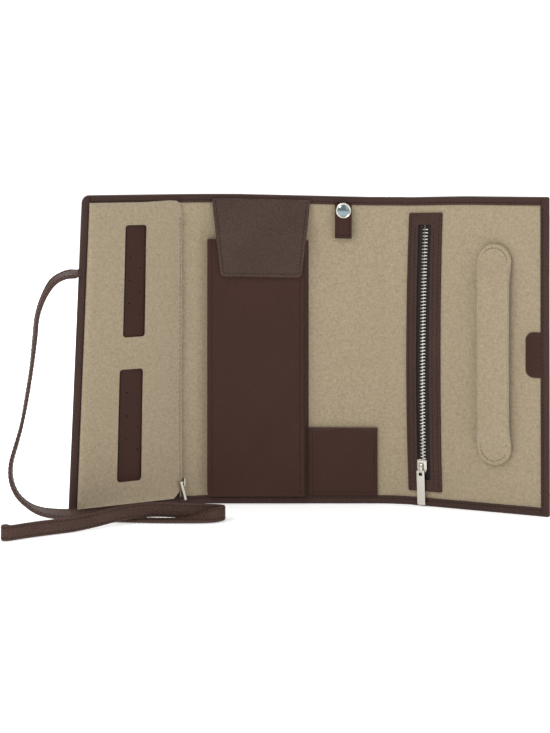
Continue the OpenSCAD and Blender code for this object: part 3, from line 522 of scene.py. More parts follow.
def repeat_tree():
    tree = bpy.data.node_groups.new("repeat_along", "GeometryNodeTree")
    for name, kind, way in (("Lines", "NodeSocketGeometry", "INPUT"), ("Spacing", "NodeSocketFloat", "INPUT"),
                            ("Piece", "NodeSocketObject", "INPUT"), ("Finish", "NodeSocketMaterial", "INPUT"),
                            ("Turned", "NodeSocketBool", "INPUT"), ("Mesh", "NodeSocketGeometry", "OUTPUT")):
        tree.interface.new_socket(name, in_out=way, socket_type=kind)
    start, end = add_node(tree, "NodeGroupInput"), add_node(tree, "NodeGroupOutput")
    points = add_node(tree, "GeometryNodeCurveToPoints",
                      [(start.outputs["Lines"], "Curve"), (start.outputs["Spacing"], "Length")],
                      mode="LENGTH")
    info = add_node(tree, "GeometryNodeObjectInfo", [(start.outputs["Piece"], "Object")])
    turn = add_node(tree, "ShaderNodeMix", [(start.outputs["Turned"], "Factor")], data_type="VECTOR")
    euler = add_node(tree, "FunctionNodeRotationToEuler", [(points.outputs["Rotation"], "Rotation")])
    tree.links.new(euler.outputs[0], turn.inputs[5])
    copies = add_node(tree, "GeometryNodeInstanceOnPoints",
                      [(points.outputs["Points"], "Points"), (info.outputs["Geometry"], "Instance"),
                       (turn.outputs[1], "Rotation")])
    real = add_node(tree, "GeometryNodeRealizeInstances", [(copies.outputs[0], "Geometry")])
    dyed = add_node(tree, "GeometryNodeSetMaterial",
                    [(real.outputs[0], "Geometry"), (start.outputs["Finish"], "Material")])
    tree.links.new(dyed.outputs[0], end.inputs["Mesh"])
    return tree


REPEAT = repeat_tree()


def capsule(length, radius):
    """One stitch lying along Z."""
    bm = bmesh.new()
    bmesh.ops.create_icosphere(bm, subdivisions=1, radius=radius)
    for v in bm.verts:
        v.co.z += math.copysign(length / 2 - radius, v.co.z) if abs(v.co.z) > 1e-7 else 0
    mesh = bpy.data.meshes.new("stitch")
    bm.to_mesh(mesh)
    bm.free()
    return bpy.data.objects.new("stitch", mesh)


def repeat_along(name, lines, spacing, piece, material, body, turned=True):
    """Copies of piece along each line of points, as one plain mesh riding on body."""
    data = bpy.data.curves.new(name, "CURVE")
    data.dimensions = "3D"
    for line in lines:
        spline = data.splines.new("POLY")
        spline.points.add(len(line) - 1)
        for p, q in zip(spline.points, line):
            p.co = (*q, 1)
    carrier = bpy.data.objects.new(name + "_lines", data)
    bpy.context.collection.objects.link(carrier)
    bpy.context.collection.objects.link(piece)
    made = carrier.modifiers.new("repeat", "NODES")
    made.node_group = REPEAT
    sockets = {i.name: i.identifier for i in REPEAT.interface.items_tree if i.in_out == "INPUT"}
    made[sockets["Spacing"]] = spacing
    made[sockets["Piece"]] = piece
    made[sockets["Finish"]] = material
    made[sockets["Turned"]] = turned
    bpy.context.view_layer.update()
    graph = bpy.context.evaluated_depsgraph_get()
    mesh = bpy.data.meshes.new_from_object(carrier.evaluated_get(graph), depsgraph=graph)
    mesh.name = name
    for old in (carrier, piece):
        bpy.data.objects.remove(old)
    copies = bpy.data.objects.new(name, mesh)
    bpy.context.collection.objects.link(copies)
    mesh.shade_smooth()
    if body:
        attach(copies, body)
    return copies


def stitches(name, lines, body, material=THREAD, spacing=2.7, length=2.0, radius=0.24):
    """A row of stitches along each line of pattern points (u, z, out)."""
    spots = [[plan.spot(*p) for p in line] for line in lines]
    return repeat_along(name, spots, spacing * MM, capsule(length * MM, radius * MM), material, body)


strap_stitches = repeat_along("strap_stitches", strap_rows(), 2.7 * MM, capsule(2.0 * MM, 0.22 * MM),
                              THREAD, None)
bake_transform(strap_stitches)


# ---- Outer leather --------------------------------------------------
# One skin of smooth leather wraps the back and turns over all four edges on to the lining. It is made in
# four lengths that meet in the middle of a panel, so that each bends over one fold.

def skin_section():
    """The skin across the pattern: back, rounded edges, and the border turned over at top and bottom."""
    half = []
    for k in range(9):
        a = math.pi * (0.5 + k / 8)
        half.append((1.2 + 1.2 * math.cos(a), STACK / 2 * (math.sin(a) - 1)))
    front = [(BORDER, LINING_OUT - 0.3), (BORDER, -0.25), (BORDER - 0.3, -0.02), (BORDER - 1.6, 0.0)]
    back = [(12.0, -STACK), (60.0, -STACK), (100.0, -STACK), (140.0, -STACK), (188.0, -STACK)]
    lower = front + half
    upper = [(HEIGHT - z, out) for z, out in reversed(lower)]
    inner = [(z, LINING_OUT - 0.3) for z in (160.0, 120.0, 80.0, 40.0)]
    return lower + back + upper + inner


def fold_steps(u0, u1, fine=0.5, coarse=4.0):
    """Places along the pattern from u0 to u1, close together at the folds."""
    folds = (0.0, -plan.left_spine, plan.centre_w, RIGHT_FLAP)
    out, u = [u0], u0
    while u < u1 - 1e-6:
        near = min(abs(u - f) for f in folds)
        u = min(u + (fine if near < 5 else coarse), u1)
        out.append(u)
    return out


def skin_piece(name, u0, u1, a, b, fold_u, nodes):
    section = skin_section()
    rows = [[(u, -out, z) for z, out in section] for u in fold_steps(u0, u1)]
    piece = grid_piece(name, rows, EDGE, replaces=nodes)
    bend(piece, a, b, fold_u)
    return piece


def bend(piece, a, b, fold_u, reach=3.0):
    """The piece's placement baked into its mesh; bodies a and b are not used, and the piece rides on no body.
    """
    plan.spot(fold_u - reach, 0, 0)
    plan.spot(fold_u + reach, 0, 0)
    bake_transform(piece)


MID_LEFT = -plan.left_spine / 2
MID_CENTRE = plan.centre_w / 2
MID_RIGHT = plan.centre_w + plan.right_spine / 2
LENGTHS = [
    ("left_flap", LEFT_EDGE + BORDER, MID_LEFT, "left_flap", "left_spine", -plan.left_spine),
    ("left_spine", MID_LEFT, MID_CENTRE, "left_spine", "centre", 0.0),
    ("right_spine", MID_CENTRE, MID_RIGHT, "centre", "right_spine", plan.centre_w),
    ("right_flap", MID_RIGHT, RIGHT_EDGE - BORDER, "right_spine", "right_flap", RIGHT_FLAP)]
SHELLS = {"left_flap": ["left_flap_shell"], "left_spine": ["left_spine_shell"],
          "right_spine": ["centre_shell", "right_spine_shell"], "right_flap": ["right_flap_shell"]}
for name, u0, u1, a, b, fold_u in LENGTHS:
    skin_piece("outer_leather_" + name, u0, u1, a, b, fold_u, SHELLS[name])


def side_border(name, edge, way, radius, body):
    """The leather turned over one of the case's two free edges, from top to bottom."""
    zs = sorted({0.0, HEIGHT, *(radius * (1 - math.cos(math.pi * k / 16)) for k in range(9)),
                 *(HEIGHT - radius * (1 - math.cos(math.pi * k / 16)) for k in range(9)),
                 *(10.0 + 9 * k for k in range(21))})
    rows = []
    for z in zs:
        end = min(z, HEIGHT - z)
        cut = radius - math.sqrt(max(radius ** 2 - (radius - end) ** 2, 0)) if end < radius else 0.0
        soft = min(1.2, BORDER - cut - 0.1)
        thin = 1.0 if end > 1.2 else math.sqrt(max(1 - (1 - end / 1.2) ** 2, 0.0)) * 0.7 + 0.3
        half = [(edge + way * (cut + soft * (1 + math.cos(math.pi * (0.5 + k / 8)))),
                 STACK / 2 * (math.sin(math.pi * (0.5 + k / 8)) - 1)) for k in range(9)]
        inner = edge + way * BORDER
        ring = [(inner, -0.25), (inner - way * 0.3, -0.02), *half, (inner, -STACK)]
        rows.append([(u, -(out * thin - STACK / 2 * (1 - thin)), z) for u, out in ring])
    return grid_piece(name, rows, EDGE, body)


side_border("left_edge_leather", LEFT_EDGE, 1, 5.0, "left_flap")
side_border("right_edge_leather", RIGHT_EDGE, -1, 1.2, "right_flap")

ROW_IN = 3.9
OUT_ROW = 0.02
for name, u0, u1, a, b, fold_u in LENGTHS:
    lines = [[(u, z, OUT_ROW) for u in fold_steps(max(u0, LEFT_EDGE + ROW_IN), min(u1, RIGHT_EDGE - ROW_IN))]
             for z in (ROW_IN, HEIGHT - ROW_IN)]
    row = stitches("border_stitches_" + name, lines, None)
    bend(row, a, b, fold_u)
for name, edge, body in (("left", LEFT_EDGE + ROW_IN, "left_flap"),
                         ("right", RIGHT_EDGE - ROW_IN, "right_flap")):
    stitches("edge_stitches_" + name, [[(edge, z, OUT_ROW) for z in range(8, 194, 4)]], body)


# ---- Suede lining ---------------------------------------------------
# Taupe microsuede over the boards, tucked under the turned border. It ripples a little along the border.

def ripple(u, z):
    edge = min(z - BORDER, HEIGHT - BORDER - z)
    near = math.exp(-max(edge, 0) / 9)
    return 0.12 * near * math.sin(u * 0.55 + 1.3 * math.sin(u * 0.13)) + 0.05 * math.sin(z * 0.21 + u * 0.07)


LININGS = {"left_flap": ["left_flap_lining"], "left_spine": ["left_spine_lining"],
           "right_spine": ["centre_lining", "right_spine_lining"], "right_flap": ["right_flap_lining"]}
LINING_ZS = [BORDER - 0.8 + (HEIGHT - 2 * BORDER + 1.6) * k / 48 for k in range(49)]


def lining_piece(name, u0, u1, a, b, fold_u):
    face = LINING_OUT - 0.06
    rows = []
    for u in fold_steps(u0, u1):
        front = [(u, -(face + ripple(u, z)), z) for z in LINING_ZS]
        back = [(u, -(face - 0.5), z) for z in reversed(LINING_ZS)]
        rows.append(front + back)
    piece = grid_piece("lining_" + name, rows, SUEDE, replaces=LININGS[name])
    bend(piece, a, b, fold_u)


for name, u0, u1, a, b, fold_u in LENGTHS:
    lining_piece(name, u0 - (0.7 if name == "left_flap" else 0), u1 + (0.7 if name == "right_flap" else 0),
                 a, b, fold_u)
finish_nodes(BOARD, "centre_board", "left_spine_board", "right_spine_board")
plate_piece("right_flap_stiffener", rounded(RIGHT_FLAP + 0.6, 1.2, RIGHT_EDGE - 1.2, HEIGHT - 1.2, 2.5),
            -2.6, -1.75, BOARD, "right_flap", bevel=0.1, replaces=["right_flap_board"])
plate_piece("left_flap_stiffener", rounded(LEFT_EDGE + 1.2, 1.2, -plan.left_spine - 0.4, HEIGHT - 1.2, 2.5),
            -2.6, -1.65, BOARD, "left_flap", bevel=0.1, replaces=["left_flap_board"])


# ---- Long pocket and its flap ---------------------------------------
# Smooth leather front on a gusset, sewn down its sides; the pebbled flap falls over its mouth from the top
# border, is backed with suede and has a turned, stitched hem.

POCKET = (0.6, 66.4, 5.6, 171.0)
POCKET_OUT = 4.8


def pocket_swell(u, z):
    """The front bows out a little between its sewn sides."""
    across = (u - POCKET[0]) / (POCKET[1] - POCKET[0])
    return 0.35 * math.sin(math.pi * min(max(across, 0), 1)) * math.sin(math.pi * min(z / 175, 1))


def make_pocket():
    u0, side, z0, z1 = POCKET
    u1 = side - 2.8
    bm = bmesh.new()
    wall = [(u1 - 0.4, 4.1), (u1 + 0.2, 4.3), (side, LINING_OUT + 0.2), (side - 0.8, LINING_OUT)]
    grid(bm, [[(u, -out, z) for u, out in wall] for z in (z0, 60, 120, z1 - 0.4)], closed_rows=True)
    finish_mesh("pocket_leather_side", bm, EDGE, "centre")
    rows = []
    cols = [u0 + 0.5 + (u1 - u0 - 1.0) * k / 20 for k in range(21)]
    for k in range(41):
        z = z0 + (z1 - z0) * k / 40
        edge = 0.0 if 0 < k < 40 else 0.35
        front = [(u, -(POCKET_OUT + pocket_swell(u, z) - edge), z) for u in cols]
        rows.append([(u0, -(POCKET_OUT - 1.2), z), (u0, -(POCKET_OUT - 0.5), z),
                     (u0 + 0.12, -(POCKET_OUT - 0.15), z), *front, (u1 - 0.12, -(POCKET_OUT - 0.15), z),
                     (u1, -(POCKET_OUT - 0.5), z), (u1, -(POCKET_OUT - 1.2), z)])
    grid_piece("pocket_leather_front", rows, SMOOTH, "centre", replaces=["pocket_front"])
    rows = []
    path = [(u0 + 0.55, z1 - 0.3), (u0 + 0.55, z0 + 2), (u0 + 0.8, z0 + 0.8), (u0 + 2, z0 + 0.55),
            (u1 - 2, z0 + 0.55), (u1 - 0.8, z0 + 0.8), (u1 - 0.55, z0 + 2), (u1 - 0.55, z1 - 0.3)]
    for k, (u, z) in enumerate(path):
        before, after = path[max(k - 1, 0)], path[min(k + 1, len(path) - 1)]
        d = Vector((after[0] - before[0], after[1] - before[1])).normalized()
        n = Vector((-d.y, d.x))
        rows.append([(u + n.x * s, -out, z + n.y * s)
                     for s, out in ((-0.5, -0.9), (0.5, -0.9), (0.15, 1.4), (0.5, 3.6), (-0.5, 3.6),
                                    (-0.25, 1.4))])
    grid_piece("pocket_leather_gusset", rows, SMOOTH, "centre", replaces=["pocket_gusset"])
    inset = 3.0
    lines = [[(u, z, POCKET_OUT + pocket_swell(u, z) + 0.02) for z in range(9, 170, 4)]
             for u in (u0 + inset, u1 - inset)]
    stitches("pocket_stitches", lines, "centre", radius=0.2)


make_pocket()
finish_nodes(NICKEL, "pocket_magnet", "flap_magnet")

FLAP_TOP, FLAP_LOW = 197.0, 146.9
FLAP_MID, FLAP_TOP_W, FLAP_END_W, FLAP_R = 35.6, 64.0, 52.4, 2.8


def flap_half(z):
    """Half the flap's width at z, with its lower corners rounded."""
    half = FLAP_END_W / 2 + (FLAP_TOP_W - FLAP_END_W) / 2 * (z - FLAP_LOW) / (FLAP_TOP - FLAP_LOW)
    up = z - FLAP_LOW
    return half - (FLAP_R - math.sqrt(max(FLAP_R ** 2 - (FLAP_R - up) ** 2, 0)) if up < FLAP_R else 0)


def flap_out(z):
    """How far out the flap's back lies at z: it slopes from its fold over the pocket's mouth."""
    t = min(max((FLAP_TOP - z) / (FLAP_TOP - 170.0), 0), 1)
    return 0.1 + (POCKET_OUT + 0.65 - 0.1) * (t * t * (3 - 2 * t) * 0.45 + t * 0.55)


def flap_sheet(name, back, front, shrink, material, nodes):
    low = [FLAP_LOW + FLAP_R * (1 - math.cos(math.pi / 2 * k / 6)) for k in range(7)]
    zs = low + [FLAP_LOW + FLAP_R + (FLAP_TOP - FLAP_LOW - FLAP_R) * k / 24 for k in range(1, 25)]
    rows = []
    for z in zs:
        half = flap_half(z) - shrink
        base = flap_out(z)
        end = 0.25 if z == zs[0] else 0.0
        cols = [-1 + 2 * k / 16 for k in range(17)]
        hem = lambda c: 0.12 if abs(c) > 0.9 or z < FLAP_LOW + 3 else 0.0
        face = [(FLAP_MID + c * (half - 0.35), -(base + front - end + hem(c)), z) for c in cols]
        behind = [(FLAP_MID + c * (half - 0.2), -(base + back), z) for c in reversed(cols)]
        rows.append([(FLAP_MID - half, -(base + front - 0.4), z), *face,
                     (FLAP_MID + half, -(base + front - 0.4), z), *behind])
    return grid_piece(name, rows, material, "pocket_flap", replaces=nodes)


flap_sheet("flap_pebbled_leather", 0.6, 1.75, 0.0, PEBBLED, ["pocket_flap"])
flap_sheet("flap_suede_backing", 0.05, 0.6, 0.8, SUEDE, ["pocket_flap_backing"])


def hem_line(inset):
    zs = [FLAP_TOP - 2 - (FLAP_TOP - 2 - FLAP_LOW - inset) * k / 20 for k in range(21)]
    out = lambda z: flap_out(z) + 1.9
    left = [(FLAP_MID - flap_half(max(z, FLAP_LOW + FLAP_R)) + inset, z, out(z)) for z in zs]
    right = [(FLAP_MID + flap_half(max(z, FLAP_LOW + FLAP_R)) - inset, z, out(z)) for z in reversed(zs)]
    return left + right


stitches("flap_stitches", [hem_line(2.2)], "pocket_flap", spacing=2.4, length=1.8, radius=0.2)


# ---- Patch pocket ---------------------------------------------------
# A small square pocket of smooth leather, sewn down on three sides, with a thin turned hem at its mouth.

def patch_lift(u, z):
    return 0.5 * math.exp(-((z - 49.6) / 9) ** 2) * math.sin(math.pi * min(max((u - 66.7) / 44.3, 0), 1))


def make_patch():
    u0, u1, z0, z1 = 66.7, 111.0, 5.6, 49.6
    rows = []
    for k in range(25):
        z = z0 + (z1 - z0) * k / 24
        cols = [u0 + 0.4 + (u1 - u0 - 0.8) * c / 16 for c in range(17)]
        edge = 0.3 if k in (0, 24) else 0.0
        face = [(u, -(1.2 + patch_lift(u, z) - edge), z) for u in cols]
        behind = [(u, -(patch_lift(u, z) + 0.05), z) for u in reversed(cols)]
        rows.append([(u0, -0.8, z), *face, (u1, -0.8, z), (u1, 0.85, z), *behind, (u0, 0.85, z)])
    grid_piece("patch_pocket_leather", rows, SMOOTH, "centre", replaces=["patch_pocket"])
    bm = bmesh.new()
    plate(bm, rounded(u0 + 0.3, z1 - 2.0, u1 - 0.3, z1 + 0.15, 0.4), 1.1, 1.5, 0.25, lift=patch_lift)
    finish_mesh("patch_pocket_hem", bm, EDGE, "centre")
    side = 2.2
    lines = [[(u, z, 1.24 + patch_lift(u, z)) for z in range(8, 47, 3)] for u in (u0 + side, u1 - side)]
    lines.append([(u, z0 + side, 1.24) for u in range(70, 109, 3)])
    stitches("patch_stitches", lines, "centre", radius=0.2)


make_patch()


# ---- Snap tab -------------------------------------------------------
# A leather strap folded on itself that holds chains; a domed nickel press stud closes it.

TAB = (83.5, 94.3)
TAB_FOLD = 174.5


def make_tab():
    zs = [194.9, 186, 177, TAB_FOLD]
    rows = [[(TAB[0], -a, z), (TAB[1], -a, z), (TAB[1], -b, z), (TAB[0], -b, z)]
            for z, a, b in [(z, -0.8, 0.35) for z in zs]]
    mid = -(-0.8 + 1.2 + 0.8)
    for k in range(1, 13):
        a = math.pi * k / 12
        inner, outer = 0.85, 2.0
        rows.append([(u, mid + r * math.cos(a), TAB_FOLD - r * math.sin(a))
                     for u, r in ((TAB[0], outer), (TAB[1], outer), (TAB[1], inner), (TAB[0], inner))])
    grid_piece("snap_tab_leather_back", rows, SMOOTH, "centre", replaces=["snap_tab_back"])
    plate_piece("snap_tab_leather_front", rounded(TAB[0], TAB_FOLD, TAB[1], 194.8, [0.2, 0.2, 1.5, 1.5]),
                2.05, 3.2, SMOOTH, "snap_tab", replaces=["snap_tab_front"])
    lines = [[(u, z, 3.24) for z in (176, 179, 182, 185)] for u in (TAB[0] + 1.6, TAB[1] - 1.6)]
    stitches("snap_tab_stitches", lines, "snap_tab", spacing=2.2, length=1.6, radius=0.17)


make_tab()


def lathe(name, profile, at, material, body, nodes=(), segments=40):
    """A turned piece facing the viewer: profile is (radius, out) pairs, at is its (u, z)."""
    rows = [[(at[0] + r * math.cos(2 * math.pi * k / segments), -out,
              at[1] + r * math.sin(2 * math.pi * k / segments)) for k in range(segments)]
            for r, out in profile]
    return grid_piece(name, rows, material, body, replaces=nodes)


CAP_PROFILE = [(4.2, 3.15), (4.9, 3.3), (5.0, 3.6), (4.85, 3.95), (4.5, 4.1), (4.15, 3.95), (3.95, 3.85),
               (0.05, 3.8)]
CROWN_PROFILE = [(3.9, 3.7), (3.85, 3.95), (3.4, 4.25), (2.6, 4.55), (1.6, 4.75), (0.7, 4.83), (0.05, 4.85)]
lathe("snap_cap_rim", CAP_PROFILE, (88.9, 190.7), NICKEL, "snap_tab", nodes=["snap_cap"])
lathe("snap_cap_crown", CROWN_PROFILE, (88.9, 190.7), SMOKED, "snap_tab")
finish_nodes(NICKEL, "snap_stud", "snap_socket", "ring_bar_stud", "ring_bar_socket")


# ---- Earring page ---------------------------------------------------
# A suede leaf over the left flap with two windows. Earrings hang in the pierced leather strips behind them.

PAGE = (LEFT_EDGE + BORDER - 0.9, -plan.left_spine - 1.0, 4.9, 195.1)
PAGE_OUT = 2.2


def page_bow(u, z):
    """The leaf lies slack: its sewn edges dip to the border, and its lower free corner gapes."""
    sewn = min(u - PAGE[0], z - PAGE[2], PAGE[3] - z)
    free = math.exp(-((u - PAGE[1]) / 7) ** 2)
    gape = 0.9 * math.exp(-((z - 10) / 12) ** 2) - 0.55
    return 0.12 * math.sin(z * 0.06) - 1.35 * math.exp(-max(sewn, 0) / 1.3) + free * gape


WINDOW_H, WINDOW_IN = 71.4, 29.0
STRIP_LOW, STRIP_RISE = 18.0, 91.8


def window(n):
    u1 = -plan.left_spine - (WINDOW_IN if n else WINDOW_IN + 0.8)
    z0 = STRIP_LOW + (STRIP_RISE if n else 1.0)
    return rounded(u1 - (17.0 if n else 17.8), z0, u1, z0 + WINDOW_H, 2.5)


def page_outline():
    u0, u1, z0, z1 = PAGE
    notch = [(u1 - 5.5, z0), (u1 - 2.6, z0 + 4.2), (u1 - 0.6, z0 + 8.5)]
    side = [(u1 + 0.2 * math.sin(k), z0 + 12 + (z1 - z0 - 20) * k / 12) for k in range(13)]
    corner = [(u1 - 0.3, z1 - 5), (u1 - 1.2, z1 - 1.2), (u1 - 3.5, z1 + 0.6), (u1 - 9, z1 + 0.9),
              (u1 - 30, z1)]
    return [(u0, z0), *notch, *side, *corner, (u0, z1)]


def make_page():
    bm = bmesh.new()
    plate(bm, page_outline(), 1.0, PAGE_OUT, 0.4, holes=[window(n)[::-1] for n in (0, 1)])
    bmesh.ops.triangulate(bm, faces=bm.faces)
    long_edges = lambda: [e for e in bm.edges if e.calc_length() > 3]
    for _ in range(5):
        bmesh.ops.subdivide_edges(bm, edges=long_edges(), cuts=1)
        bmesh.ops.triangulate(bm, faces=bm.faces)
    for v in bm.verts:
        v.co.y -= page_bow(v.co.x, v.co.z)
    finish_mesh("earring_page_suede", bm, SUEDE, "left_flap", replaces=["earring_page"])
    for n, label in ((0, "lower"), (1, "upper")):
        u1, z0 = -plan.left_spine - WINDOW_IN, STRIP_LOW + n * STRIP_RISE
        holes = []
        for k in range(6):
            hu = u1 - 7.9 + (3.95 if k % 2 == 0 else -3.95)
            hz = z0 + 35.7 + (3.2 if n == 0 else -3.2) + (k - 2.5) * 7.3
            holes.append([(hu + 0.7 * math.cos(-math.pi * j / 5), hz + 0.7 * math.sin(-math.pi * j / 5))
                          for j in range(10)])
        plate_piece("earring_strip_leather_" + label, rounded(u1 - 18.8, z0 - 3, u1 + 3, z0 + 74.4, 1.0),
                    0.0, 0.95, SMOOTH, "left_flap", bevel=0.15, holes=holes,
                    replaces=["earring_strip_" + label])
        # Painted shadow: a thin dark strip in thread colour at each window's left side, between the pierced
        # strip and the leaf, stands in for the shade that the leaf's edge casts inside the window
        low, high = z0 - 1, z0 + 73.4
        left = min(q[0] for q in window(n)) - 0.5
        plate_piece("window_turning_" + label, rounded(left, low, left + 2.4, high, 0.2), 0.9, 1.3, THREAD,
                    "left_flap", bevel=0.1)
    u1 = PAGE[1]
    line = [(u1 - 1.8, z, PAGE_OUT + page_bow(u1 - 1.8, z)) for z in range(16, 188, 4)]
    stitches("page_stitches", [line], "left_flap", material=TAUPE_THREAD, radius=0.2)


make_page()
finish_nodes(TAPE, "page_zip_tape", "page_zip_coil")
finish_nodes(NICKEL, "page_zip_slider", "page_zip_puller")


# ---- Zip pocket -----------------------------------------------------
# A leather frame sewn round a metal zip: black tape, nickel teeth in two interlocked rows, a stop, and a
# slider whose flat puller hangs from its arch.

FRAME = (RIGHT_FLAP + 1.3, RIGHT_FLAP + 24.5, 9.8, 189.6)
SLOT = (RIGHT_FLAP + 8.0, RIGHT_FLAP + 17.4, 17.0, 182.2)
CHAIN_U = RIGHT_FLAP + 11.9
CHAIN_LEAN = 1.1
TOOTH = 2.1


def subdivide_long(bm, limit):
    bmesh.ops.triangulate(bm, faces=bm.faces)
    for _ in range(3):
        bmesh.ops.subdivide_edges(bm, edges=[e for e in bm.edges if e.calc_length() > limit], cuts=1)
        bmesh.ops.triangulate(bm, faces=bm.faces)


def make_zip():
    bm = bmesh.new()
    plate(bm, rounded(FRAME[0], FRAME[2], FRAME[1], FRAME[3], 0.8), LINING_OUT + 0.02, 0.45, 0.3,
          holes=[rounded(SLOT[0], SLOT[2], SLOT[1], SLOT[3], 1.2)[::-1]])
    subdivide_long(bm, 15)
    finish_mesh("zip_frame_leather", bm, EDGE, "right_flap", replaces=["zip_frame"])
    for side, u0, u1 in (("left", SLOT[0] - 1.3, CHAIN_U + 0.3), ("right", CHAIN_U + 0.8, SLOT[1] + 1.3)):
        bm = bmesh.new()
        plate(bm, rounded(u0, SLOT[2] - 1.3, u1, SLOT[3] + 1.3, 0.3), -1.1, -0.52, 0.1)
        subdivide_long(bm, 15)
        finish_mesh("zip_tape_" + side, bm, TAPE, "right_flap",
                    replaces=["zip_tape"] if side == "left" else ())
    rows = [[(FRAME[0] + 1.8, z, 0.47) for z in range(10, 188, 4)],
            [(FRAME[1] - 1.8, z, 0.47) for z in range(10, 188, 4)],
            [(SLOT[0] - 1.8, z, 0.47) for z in range(15, 183, 4)],
            [(SLOT[1] + 1.8, z, 0.47) for z in range(15, 183, 4)]]
    stitches("zip_frame_stitches", rows, "right_flap", radius=0.17)


def tooth(side):
    """One cast tooth: a rounded head with a leg that clamps the tape's bead."""
    bm = bmesh.new()
    profile = [(-0.75, 0.28), (-0.45, 0.5), (0.3, 0.42), (1.2, 0.45), (2.05, 0.42), (2.1, 0.25)]
    rows = []
    for k in range(9):
        out = -0.7 + 1.4 * k / 8
        shrink = math.sqrt(max(1 - (abs(out) / 0.74) ** 4, 0.05))
        ring = [(side * u, z * shrink) for u, z in profile]
        ring += [(side * u, -z * shrink) for u, z in reversed(profile)]
        rows.append([(u * MM, -out * MM, z * MM) for u, z in ring])
    grid(bm, rows, closed_rows=True)
    bmesh.ops.recalc_face_normals(bm, faces=bm.faces)
    mesh = bpy.data.meshes.new("tooth")
    bm.to_mesh(mesh)
    bm.free()
    return bpy.data.objects.new("tooth", mesh)


def make_teeth():
    low, high = 21.4, 178.8
    for side, name in ((-1, "left"), (1, "right")):
        start = low + (TOOTH / 2 if side > 0 else 0)
        line = [Vector((CHAIN_U, 0.45, start)) * MM, Vector((CHAIN_U + CHAIN_LEAN, 0.45, high)) * MM]
        row = repeat_along("zip_teeth_row_" + name, [line], TOOTH * MM, tooth(side), NICKEL, None,
                           turned=False)
        for v in row.data.vertices:
            v.co = plan.spot(v.co.x / MM, v.co.z / MM, -v.co.y / MM)
        row.data.update()
        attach(row, "right_flap")
        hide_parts("zip_teeth_" + name)
    finish_nodes(NICKEL, "zip_stops")
    finish_nodes(SUEDE, "zip_pocket_bag")


def make_slider():
    z0 = 21.0
    u = CHAIN_U - 0.3
    bm = bmesh.new()
    outline = [(u - 1.6, z0), (u + 1.6, z0), (u + 2.8, z0 + 1.6), (u + 3.4, z0 + 3.4), (u + 3.4, z0 + 8.2),
               (u + 2.9, z0 + 9.3), (u + 1.4, z0 + 9.4), (u - 1.4, z0 + 9.4), (u - 2.9, z0 + 9.3),
               (u - 3.4, z0 + 8.2), (u - 3.4, z0 + 3.4), (u - 2.8, z0 + 1.6)]
    plate(bm, outline, 0.25, 1.2, 0.4)
    for side in (-1, 1):
        flange = u + side * 2.95
        plate(bm, rounded(flange - 0.42, z0 + 3, flange + 0.42, z0 + 9.2, 0.3), -0.65, 0.6, 0.15)
    arch = []
    for k in range(13):
        a = math.pi * k / 12
        arch.append((z0 + 3.9 - 3.2 * math.cos(a), 1.0 + 2.15 * math.sin(a) ** 0.6))
    rows = []
    for k, (z, out) in enumerate(arch):
        a, b = arch[max(k - 1, 0)], arch[min(k + 1, 12)]
        d = Vector((b[0] - a[0], b[1] - a[1])).normalized()
        n = Vector((-d.y, d.x))
        rows.append([(u + p * 1.05, -(out + n.y * q * 0.4), z + n.x * q * 0.4)
                     for p, q in ((-1, -0.6), (-0.7, -1), (0.7, -1), (1, -0.6), (1, 0.6), (0.7, 1), (-0.7, 1),
                                  (-1, 0.6))])
    grid(bm, rows, closed_rows=True)
    finish_mesh("zip_slider_body", bm, NICKEL, "zip_slider", replaces=["zip_slider"])
    pin_z, pin_out = z0 + 1.75, 2.15
    bm = bmesh.new()
    hole = rounded(u - 1.9, pin_z - 3.0, u + 0.9, pin_z - 0.5, 0.4)[::-1]
    plate(bm, rounded(u - 3.3, pin_z - 21.5, u + 2.2, pin_z + 0.65, [0.9, 0.9, 0.6, 0.6]), pin_out - 0.65,
          pin_out + 0.65, 0.2, holes=[hole])
    finish_mesh("zip_puller_plate", bm, NICKEL, "zip_puller", replaces=["zip_puller"])


make_zip()
make_teeth()
make_slider()


# ---- Ring bar -------------------------------------------------------
# A suede tube, padded flat, that rings slide on to. Its two flat ends are stitched in a U; the upper one is
# sewn to the flap and the lower one hides a press stud.

RING_U, RING_LOW, RING_TOP = RIGHT_FLAP + 61.5, 30.5, 170.0
RING_R, SEAM_R = 11.3, 8.8       # of its rounded ends and of the stitched U


def ring_half(z):
    """Half the bar's width at z."""
    end = min(z - RING_LOW, RING_TOP - z)
    if end < RING_R:
        return math.sqrt(max(RING_R ** 2 - (RING_R - end) ** 2, 0.0))
    t = min(max((end - RING_R) / 14, 0), 1)
    return RING_R - 0.9 * t * t * (3 - 2 * t)


def ring_thick(z):
    """How thick the bar is at z: thin at its sewn ends and full in between."""
    end = min(z - RING_LOW, RING_TOP - z)
    t = min(max((end - 9) / 14, 0), 1)
    return 2.3 + 3.9 * t * t * (3 - 2 * t)


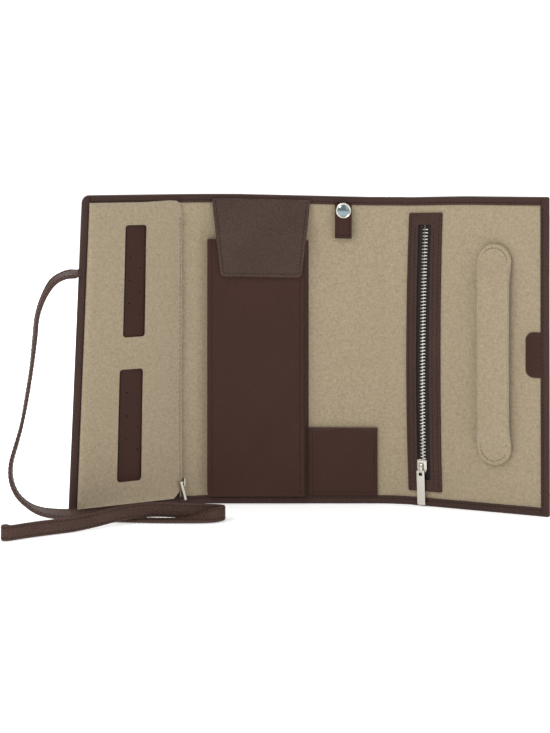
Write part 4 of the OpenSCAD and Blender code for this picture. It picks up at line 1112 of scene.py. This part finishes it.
def make_ring_bar():
    zs = sorted({RING_LOW + RING_R * (1 - math.cos(math.pi / 2 * k / 10)) for k in range(11)}
                | {RING_TOP - RING_R * (1 - math.cos(math.pi / 2 * k / 10)) for k in range(11)}
                | {RING_LOW + 13 + 3.1 * k for k in range(37)})
    rows = []
    for z in zs:
        half, thick = max(ring_half(z), 0.3), ring_thick(z)
        thick *= min(1, 0.35 + half / 6)
        flat = 2.2 + 0.9 * (1 - thick / 6.2)
        mid = 0.5 + thick / 2
        ring = []
        for k in range(28):
            a = 2 * math.pi * k / 28
            c, s = math.cos(a), math.sin(a)
            wave = 0.12 * math.sin(z * 0.33 + 3 * c) * (1 if s > 0 else 0)
            ring.append((RING_U + half * math.copysign(abs(c) ** (1 / flat * 1.1), c),
                         -(mid + (thick / 2 + wave) * math.copysign(abs(s) ** (0.9 / flat * 1.4), s)), z))
        rows.append(ring)
    bar = grid_piece("ring_bar_padded", rows, SUEDE, replaces=["ring_bar", "ring_bar_anchor"])
    plan.spot(RING_U, 160, 3)
    plan.spot(RING_U, 151, 3)
    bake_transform(bar)
    for name, way, tip, body in (("upper", -1, RING_TOP, "right_flap"), ("lower", 1, RING_LOW, "ring_bar")):
        line = []
        for k in range(13):
            a = math.pi * k / 12
            line.append((RING_U + SEAM_R * math.cos(a), tip + way * (RING_R - SEAM_R * math.sin(a)), 0))
        ends = [[(RING_U + s * SEAM_R, tip + way * (RING_R + d), 0) for d in (12, 8, 4)] for s in (1, -1)]
        line = ends[0] + line + ends[1][::-1]
        line = [(u, z, 0.5 + ring_thick(z) * (0.93 if abs(u - RING_U) < 8 else 0.86)) for u, z, _ in line]
        if body == "right_flap":
            line = [p for p in line if p[1] > 158]
        stitches("ring_bar_stitches_" + name, [line], body, material=TAUPE_THREAD, spacing=2.1, length=1.6,
                 radius=0.3)


make_ring_bar()


# ---- Label tab ------------------------------------------------------
# A small leather tab sewn under the right border, left blank.

plate_piece("label_tab_leather", rounded(RIGHT_EDGE - BORDER - 9.7, 86.6, RIGHT_EDGE - BORDER + 0.3, 115.0,
                                         [5, 0.3, 0.3, 5]),
            LINING_OUT + 0.02, 0.25, SMOOTH, "right_flap", replaces=["label_tab"])
tongue = rounded(LEFT_EDGE - 0.6, 149.9, LEFT_EDGE + 12, 154.1, 0.2)
plate_piece("strap_tongue", tongue, -2.7, -0.9, STRAP, "left_flap", replaces=["strap_anchor"])
